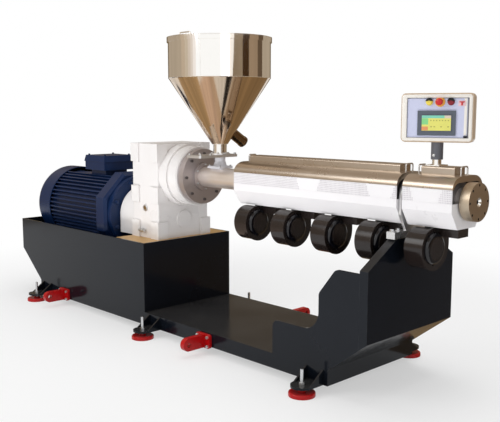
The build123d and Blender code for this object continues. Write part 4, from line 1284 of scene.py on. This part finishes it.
@dataclass
class Panel(SubAssembly):
    """Control panel on its swivelling post."""

    at: tuple[float, float, float] = (1.645, 0.0, 1.390)
    turn: float = 21.0
    front: float = -0.035
    trim_outer: tuple[float, float] = (0.166, 0.1105)
    window_x: tuple[float, float] = (-0.142, 0.151)
    window_z: tuple[float, float] = (-0.0955, 0.0945)
    screen: tuple[float, float] = (0.138, 0.072)
    screen_drop: float = -0.025
    bezel_front: float = -0.043
    button_x: tuple[float, ...] = (-0.036, 0.015, 0.066, 0.117)
    button_z: float = 0.075
    post_bottom: float = 1.19
    post: float = 0.029
    back_spread: tuple[float, float] = (0.145, 0.09)
    back_screw: float = 0.01
    set_screw: float = 0.012

    nodes = {
        "panel_socket": STAINLESS,
        "panel_post": GREY_ENAMEL,
        "panel_case": CREAM_PAINT,
        "panel_face": FACE_FILM,
        "panel_screen": BEZEL_POLYMER,
    }

    @property
    def place(self) -> Matrix:
        """Place of the panel's middle, with its face towards -Y before the turn."""
        return Matrix.Translation(self.at) @ Matrix.Rotation(math.radians(self.turn), 4, "Z")

    @property
    def button_foot(self) -> float:
        """Y of the plane that the buttons stand on, in the panel's frame."""
        return self.front - 0.002

    def build(self) -> None:
        """Model the trim, screen, buttons and screws."""
        self.trim()
        self.display()
        self.buttons()
        self.screws()

    def plate(self, x: tuple[float, float], z: tuple[float, float], y: tuple[float, float],
              edge: float = 0.0006) -> Work:
        """Thin plate in the panel's frame with eased edges.

        Args:
            x: Its left and right ends.
            z: Its lower and upper ends.
            y: Its front and back.
            edge: Width of the eased edges.

        Returns:
            The plate.
        """
        return Work.block((x[0], y[0], z[0]), (x[1], y[1], z[1])).bevel(None, edge)

    def settle(self, piece: Work, name: str, finish: Finish, slot: str, replaces: Sequence[str] = ()) -> None:
        """Move a piece from the panel's frame to the machine's and finish it.

        Args:
            piece: The piece.
            name: Its name.
            finish: Its finish.
            slot: The record's material slot.
            replaces: Nodes that it stands for.
        """
        piece.put(self.place).finish(name, finish, slot, Body.PANEL, replaces)

    def ring(self, outer: tuple[float, float], x: tuple[float, float], z: tuple[float, float],
             y: tuple[float, float], corner: float, drop: float = 0.0) -> Work:
        """Flat ring in the panel's frame with round outer corners.

        Args:
            outer: Half of its width and of its height.
            x: Left and right ends of its window.
            z: Lower and upper ends of its window.
            y: Its front and back.
            corner: Radius of its outer corners.
            drop: Height of its middle.

        Returns:
            The ring.
        """
        ring = Work.block((-outer[0], y[0], drop - outer[1]), (outer[0], y[1], drop + outer[1]))
        ring.bevel(lambda at, way: abs(way.y) > ALONG, corner, 5)
        ring.cut(Work.block((x[0], y[0] - 0.01, z[0]), (x[1], y[1] + 0.01, z[1])))
        return ring.bevel(lambda at, way: at.y < y[0] + 0.0001, (y[1] - y[0]) * 0.2)

    def trim(self) -> None:
        """White frame round the face, with a grey seal, a pale strip and a black latch inside it; the seal also
        paints the gap's shadow and the pale strip is a painted reflection.
        """
        left, right = self.window_x
        low, high = self.window_z
        back = self.front - 0.001
        border = self.ring(self.trim_outer, self.window_x, self.window_z,
                           (self.front - 0.009, self.front + 0.001), 0.014)
        self.settle(border, "panel_trim", TRIM_AND_REFLECTION_PAINT, "case_paint")
        # Grey strips round the window, widest on the right: a seal that also paints the shadow of the gap between
        # frame and face
        y = (self.front - 0.0035, back)
        bars = [self.plate((left - 0.001, left + 0.002), (low, high), y),
                self.plate((right - 0.008, right), (low, high), y),
                self.plate((left, right), (high - 0.003, high), y),
                self.plate((left, right), (low, low + 0.002), y)]
        self.settle(bars[0].join(bars[1:]), "panel_seal_and_shadow", SEAL_RUBBER_AND_SHADOW, "bezel_plastic")
        # Pale strip down the right of the face: painted reflection
        strip = self.plate((right - 0.023, right - 0.010), (low + 0.014, high - 0.003), (self.front - 0.0026, back))
        self.settle(strip, "face_painted_reflection", TRIM_AND_REFLECTION_PAINT, "case_paint")
        latch = self.plate((right - 0.023, right - 0.008), (low + 0.002, low + 0.011), (self.front - 0.008, back))
        latch.inset(lambda at, normal: normal.y < -ALONG, 0.002, -0.001)
        self.settle(latch, "panel_latch", BLACK_POLYMER_AND_SHADE, "bezel_plastic")

    def display(self) -> None:
        """Sunk screen with plain coloured fields and rows of marks, none of them letters."""
        width, height = self.screen
        left, top = -width / 2, self.screen_drop + height / 2
        layers = (
            ("screen_field", FIELD_GLOW, ((0.0, 1.0, 0.0, 1.0),), 0.0006),
            ("screen_head", HEAD_GLOW, ((0.0, 0.78, 0.0, 0.18),), 0.0009),
            ("screen_corner", PALE_GLOW, ((0.79, 1.0, 0.0, 0.18),), 0.0009),
            ("screen_side", SIDE_GLOW, ((0.0, 0.225, 0.19, 0.60),), 0.0009),
            ("screen_alarm", ALARM_GLOW, ((0.0, 0.22, 0.73, 0.98),), 0.0009),
            ("screen_marks", MARK_GLOW, tuple((0.29 + 0.1 * k, 0.34 + 0.1 * k, 0.29, 0.37) for k in range(7))
             + tuple((x, x + 0.06, 0.70, 0.78) for x in (0.30, 0.41, 0.64, 0.88)), 0.0011),
        )
        for name, finish, fields, proud in layers:
            depth = (self.bezel_front - proud, self.bezel_front + 0.0002)
            plates = [self.plate((left + start * width, left + end * width),
                                 (top - low * height, top - high * height), depth, 0.0002)
                      for start, end, high, low in fields]
            self.settle(plates[0].join(plates[1:]), name, finish, "panel_film")
        rim = self.ring((0.004 - left, height / 2 + 0.004), (left, -left), (top - height, top),
                        (self.bezel_front - 0.002, self.bezel_front + 0.0005), 0.002, self.screen_drop)
        self.settle(rim, "screen_rim", BEZEL_POLYMER, "bezel_plastic")

    def turned(self, x: float, profile: Sequence[tuple[float, float]], steps: int = 36) -> Work:
        """Turned piece on the panel's face that looks towards the operator.

        Args:
            x: Its place along the row of buttons.
            profile: Distance from the face and radius of each corner.
            steps: Number of its sides.

        Returns:
            The piece, in the panel's frame.
        """
        piece = Work.lathe(profile, steps=steps)
        return piece.put(facing((x, self.button_foot, self.button_z), NEAR))

    def buttons(self) -> None:
        """Two shaded push buttons, a mushroom stop button and a rocker switch."""
        collar = [(0.0, 0.0), (0.0, 0.0168), (0.0025, 0.0168), (0.0035, 0.0155), (0.0035, 0.0)]
        cap = [(0.003, 0.0), (0.003, 0.0142), (0.0085, 0.0142), (0.0105, 0.0125), (0.011, 0.0)]
        stem = [(0.004, 0.0), (0.004, 0.011), (0.024, 0.011), (0.024, 0.0)]
        head = [(0.022, 0.0), (0.022, 0.0155), (0.0235, 0.017), (0.029, 0.017), (0.033, 0.0145), (0.0355, 0.009),
                (0.036, 0.0)]
        ring = [(0.0, 0.0), (0.0, 0.0235), (0.003, 0.0235), (0.004, 0.0225), (0.004, 0.0)]
        yellow, stop, maroon, rocker = self.button_x
        for name, x, finish in (("yellow_button", yellow, YELLOW_POLYMER), ("maroon_button", maroon, MAROON_POLYMER)):
            self.settle(self.turned(x, cap).join([self.turned(x, collar)]), name, finish, "button_plastic",
                        ["panel_buttons"])
            self.settle(self.shade(x), f"{name}_shade", BLACK_POLYMER_AND_SHADE, "button_plastic")
        self.settle(self.turned(stop, ring), "stop_ring", AMBER_POLYMER, "button_plastic", ["panel_buttons"])
        self.settle(self.turned(stop, stem, 24).join([self.turned(stop, head)]), "stop_button", RED_POLYMER,
                    "button_plastic", ["panel_buttons"])
        y, z = self.button_foot, self.button_z - 0.006
        plate = self.plate((rocker - 0.017, rocker + 0.017), (z - 0.014, z + 0.012), (y - 0.003, y), 0.001)
        self.settle(plate, "rocker_frame", PINK_POLYMER, "button_plastic", ["panel_buttons"])
        bar = self.plate((rocker - 0.012, rocker + 0.012), (z + 0.003, z + 0.008), (y - 0.006, y - 0.002), 0.0012)
        upright = self.plate((rocker - 0.0035, rocker + 0.0035), (z - 0.011, z + 0.005), (y - 0.008, y - 0.002),
                             0.0012)
        self.settle(bar.join([upright]), "rocker_key", RED_POLYMER, "button_plastic", ["panel_buttons"])

    def shade(self, x: float) -> Work:
        """Black shade over the upper part of a button.

        Args:
            x: The button's place along the row.

        Returns:
            The shade, in the panel's frame.
        """
        shade = Work.lathe([(0.0, 0.0175), (0.0135, 0.0175), (0.0145, 0.0165), (0.0145, 0.0075), (0.0105, 0.0075),
                            (0.0105, 0.0172), (0.0, 0.0172), (0.0, 0.0175)], steps=36)
        shade.halve((0.0, 0.0045, 0.0), (0.0, -1.0, 0.0))
        return shade.put(facing((x, self.button_foot, self.button_z), NEAR))

    def screws(self) -> None:
        """Screws at the corners of the case's back, and the post's set screw."""
        wide, high = self.back_spread
        back = [self.place @ facing((dx, -self.front, dz), FAR) for dx in pair(wide) for dz in pair(high)]
        cap_screw(self.back_screw).scatter(back).finish("panel_back_screws", ZINC_PLATE, "zinc_steel", Body.PANEL)
        x, y, _ = self.at
        grip = facing((x, y + 0.0005 - self.post, self.post_bottom + 0.02), NEAR)
        hex_bolt(self.set_screw).put(grip).finish("post_set_screw", ZINC_PLATE, "zinc_steel", Body.PANEL)


@dataclass(frozen=True)
class Board:
    """Coloured board that stands round the set, out of the picture, for polished metal to show.

    Attributes:
        name: Name of the board.
        colour: Its colour as sRGB hex.
        start: Its left edge in degrees to the right of the camera, seen from the hopper.
        end: Its right edge.
        foot: Height of its lower edge.
        head: Height of its upper edge.
    """

    name: str
    colour: str
    start: float
    end: float
    foot: float = 0.7
    head: float = 4.6


@dataclass(frozen=True)
class Slab:
    """Coloured board that lies level in the set, out of the picture, for polished metal to show.

    Attributes:
        name: Name of the board.
        colour: Its colour as sRGB hex.
        low: Its lowest corner.
        high: Its highest corner.
    """

    name: str
    colour: str
    low: tuple[float, float, float]
    high: tuple[float, float, float]


@dataclass(frozen=True)
class Lamp:
    """Soft lamp of the studio.

    Attributes:
        name: Name of the lamp.
        at: Where it hangs.
        towards: The point it looks at.
        width: Its width.
        depth: Its height.
        watts: Its power.
        shine: False keeps it out of the picture and out of reflections.
    """

    name: str
    at: tuple[float, float, float]
    towards: tuple[float, float, float]
    width: float
    depth: float
    watts: float
    shine: bool = True


@dataclass
class Studio:
    """Pale floor, soft lamps, boards for the reflections and the camera."""

    camera_at: tuple[float, float, float] = (3.671, -3.203, 1.422)
    camera_yaw: float = 46.13
    camera_pitch: float = -7.498
    lens: float = 54.69
    sensor: float = 36.0
    floor_size: float = 60.0
    floor_fade: tuple[float, float] = (1.6, 4.0)
    floor_glow: float = 0.5
    ambient: float = 0.46
    hub: tuple[float, float] = (0.065, 0.0)
    hub_to_camera: float = -41.6
    distance: float = 6.5

    boards: tuple[Board, ...] = (
        Board("tan_board", "#ad9d89", -150.0, -91.0, foot=0.0),
        Board("tan_fade_1", "#b9a690", -91.0, -80.0, foot=0.0),
        Board("tan_fade_2", "#c4b49f", -80.0, -72.0, foot=0.0),
        Board("tan_fade_3", "#d1c2b3", -72.0, -65.0),
        Board("tan_fade_4", "#ddd1c6", -65.0, -59.0),
        Board("tan_fade_5", "#f1e9e3", -59.0, -52.0),
        Board("dove_fade_1", "#edeef6", 5.0, 14.0),
        Board("dove_fade_2", "#d1cbc9", 14.0, 22.0),
        Board("taupe_board", "#8a7761", 22.0, 50.5, head=2.6),
        Board("brown_board", "#3f2b1a", 50.5, 66.0, foot=0.0, head=2.6),
        Board("sand_board", "#947d65", 66.0, 91.0, foot=0.0),
        Board("umber_board", "#5e4c3b", 91.0, 107.0, foot=0.0),
        Board("tan_board_back", "#a89884", 107.0, 150.0),
        Board("umber_board_back", "#796953", 150.0, 210.0),
    )

    slabs: tuple[Slab, ...] = (
        Slab("tan_ceiling_board", "#c0b0a0", (-6.0, -3.2, 4.7), (6.0, 6.0, 4.72)),
        Slab("grey_floor_board", "#7b7571", (1.95, 0.15, 0.002), (6.0, 5.5, 0.02)),
        Slab("brown_floor_board", "#8f785a", (-3.0, 0.45, 0.002), (1.9, 5.5, 0.02)),
        Slab("straw_low_board", "#b89f7c", (-1.6, -1.1, 0.615), (-0.1, -0.32, 0.62)),
        Slab("buff_low_board", "#d5bdab", (-0.1, -0.9, 0.615), (0.36, -0.13, 0.62)),
        Slab("buff_side_board", "#cfb8a2", (0.36, -0.9, 0.615), (0.5, -0.25, 0.62)),
    )

    lamps: tuple[Lamp, ...] = (
        Lamp("key_lamp", (-1.5, -5.5, 4.2), (-0.2, 0.0, 0.8), 4.0, 4.0, 140.0),
        Lamp("fill_lamp", (5.5, -2.5, 2.6), (0.6, 0.0, 0.8), 3.0, 3.0, 20.0),
        Lamp("top_lamp", (0.2, 0.8, 5.2), (0.2, 0.0, 0.0), 4.5, 4.5, 120.0),
        Lamp("low_lamp", (0.55, -1.3, 0.03), (0.55, -1.3, 1.0), 3.0, 0.3, 23.0, shine=False),
    )

    def build(self) -> None:
        """Set the stage."""
        self.world()
        self.floor()
        for board in self.boards:
            self.stand(board)
        for slab in self.slabs:
            self.hide(Work.block(slab.low, slab.high), slab.name, slab.colour)
        for lamp in self.lamps:
            self.hang(lamp)
        self.camera()
        bpy.context.scene.view_settings.view_transform = "Standard"

    def stand(self, board: Board) -> None:
        """Stand one board upright on its arc round the hopper.

        Args:
            board: The board.
        """
        middle, half = (board.start + board.end) / 2, math.radians(board.end - board.start) / 2
        reach = self.distance * math.cos(half)
        width = self.distance * math.sin(half)
        piece = Work.block((-width, 0.0, board.foot), (width, 0.02, board.head))
        turn = Matrix.Rotation(math.radians(self.hub_to_camera + middle - 90), 4, "Z")
        piece.put(Matrix.Translation((*self.hub, 0.0)) @ turn @ Matrix.Translation((0.0, reach, 0.0)))
        self.hide(piece, board.name, board.colour)

    def hide(self, piece: Work, name: str, colour: str) -> None:
        """Paint a board, keep it out of the picture and let only reflections see it.

        Args:
            piece: The board.
            name: Its name.
            colour: Its colour as sRGB hex.
        """
        board = piece.piece
        board.name = name
        material = bare_material(name)
        tree = material.node_tree
        place = add_node(tree, "TexCoord", out="Object")
        cloud = add_node(tree, "TexNoise", {"Vector": place, "Scale": 0.6})
        level = add_node(tree, "MapRange", {"Value": cloud, "To Min": 0.85, "To Max": 1.15})
        glow = add_node(tree, "Emission", {"Color": linear(colour), "Strength": level})
        add_node(tree, "OutputMaterial", {"Surface": glow})
        board.data.materials.clear()
        board.data.materials.append(material)
        board.visible_camera = board.visible_diffuse = board.visible_shadow = False

    @staticmethod
    def seen(tree: Tree, *rays: str) -> Socket:
        """Tell some kinds of rays from all others.

        Args:
            tree: Node tree of a material or of the world.
            *rays: Names of the light path's outputs for these rays.

        Returns:
            Socket that is one for these rays and zero for others.
        """
        path = add_node(tree, "LightPath").node
        share = path.outputs[rays[0]]
        for ray in rays[1:]:
            share = add_node(tree, "Math", {0: share, 1: path.outputs[ray]}, operation="MAXIMUM")
        return share

    def world(self) -> None:
        """White surround for the camera and for reflections, softer as light."""
        world = bpy.data.worlds.new("studio")
        bpy.context.scene.world = world
        world.use_nodes = True
        tree = world.node_tree
        tree.nodes.clear()
        seen = self.seen(tree, "Is Camera Ray", "Is Glossy Ray", "Is Transmission Ray")
        level = add_node(tree, "MapRange", {"Value": seen, "To Min": self.ambient, "To Max": 1.0})
        add_node(tree, "OutputWorld", {"Surface": add_node(tree, "Background", {"Color": WHITE, "Strength": level})})

    def floor(self) -> None:
        """Pale floor that fades to the white surround away from the machine."""
        Work.clear()
        bpy.ops.mesh.primitive_plane_add(size=self.floor_size)
        floor = bpy.context.object
        floor.name = "studio_floor"
        material = bare_material("pale_studio_floor")
        tree = material.node_tree
        place = add_node(tree, "TexCoord", out="Object")
        away = add_node(tree, "VectorMath", {0: place}, "Value", operation="LENGTH")
        start, end = self.floor_fade
        fade = add_node(tree, "MapRange", {
            "Value": away, "From Min": start, "From Max": end, "To Min": self.floor_glow},
            interpolation_type="SMOOTHSTEP")
        seen = self.seen(tree, "Is Camera Ray", "Is Glossy Ray")
        share = add_node(tree, "Math", {0: seen, 1: fade}, operation="MULTIPLY")
        paint = add_node(tree, "BsdfDiffuse", {"Color": linear("#f4f4f4")})
        glow = add_node(tree, "Emission", {"Color": WHITE})
        mixed = add_node(tree, "MixShader", {0: share, 1: paint, 2: glow})
        add_node(tree, "OutputMaterial", {"Surface": mixed})
        floor.data.materials.append(material)

    def hang(self, lamp: Lamp) -> None:
        """Hang one soft lamp.

        Args:
            lamp: The lamp.
        """
        light = bpy.data.lights.new(lamp.name, "AREA")
        light.shape = "RECTANGLE"
        light.size, light.size_y = lamp.width, lamp.depth
        light.energy = lamp.watts
        hung = bpy.data.objects.new(lamp.name, light)
        bpy.context.scene.collection.objects.link(hung)
        hung.location = lamp.at
        hung.visible_camera = hung.visible_glossy = lamp.shine
        hung.rotation_euler = (Vector(lamp.towards) - Vector(lamp.at)).to_track_quat("-Z", "Y").to_euler()

    def camera(self) -> None:
        """Stand the camera where the photograph was taken from."""
        data = bpy.data.cameras.new("photo_camera")
        data.lens = self.lens
        data.sensor_width = self.sensor
        data.sensor_fit = "HORIZONTAL"
        camera = bpy.data.objects.new("photo_camera", data)
        bpy.context.scene.collection.objects.link(camera)
        camera.location = self.camera_at
        camera.rotation_euler = (math.radians(90 + self.camera_pitch), 0.0, math.radians(self.camera_yaw))
        bpy.context.scene.camera = camera


def main() -> None:
    """Dress and build each group in order, set the stage and note the sizes."""
    logging.basicConfig(level=logging.INFO, format="%(name)s: %(message)s")
    for group in (Base(), Drive(), Barrel(), Feed(), Covers(), Blowers(), Panel()):
        LOG.info("group %s", type(group).__name__)
        group.dress()
        group.build()
    Studio().build()
    Work.clear()


if __name__ == "__main__":
    main()
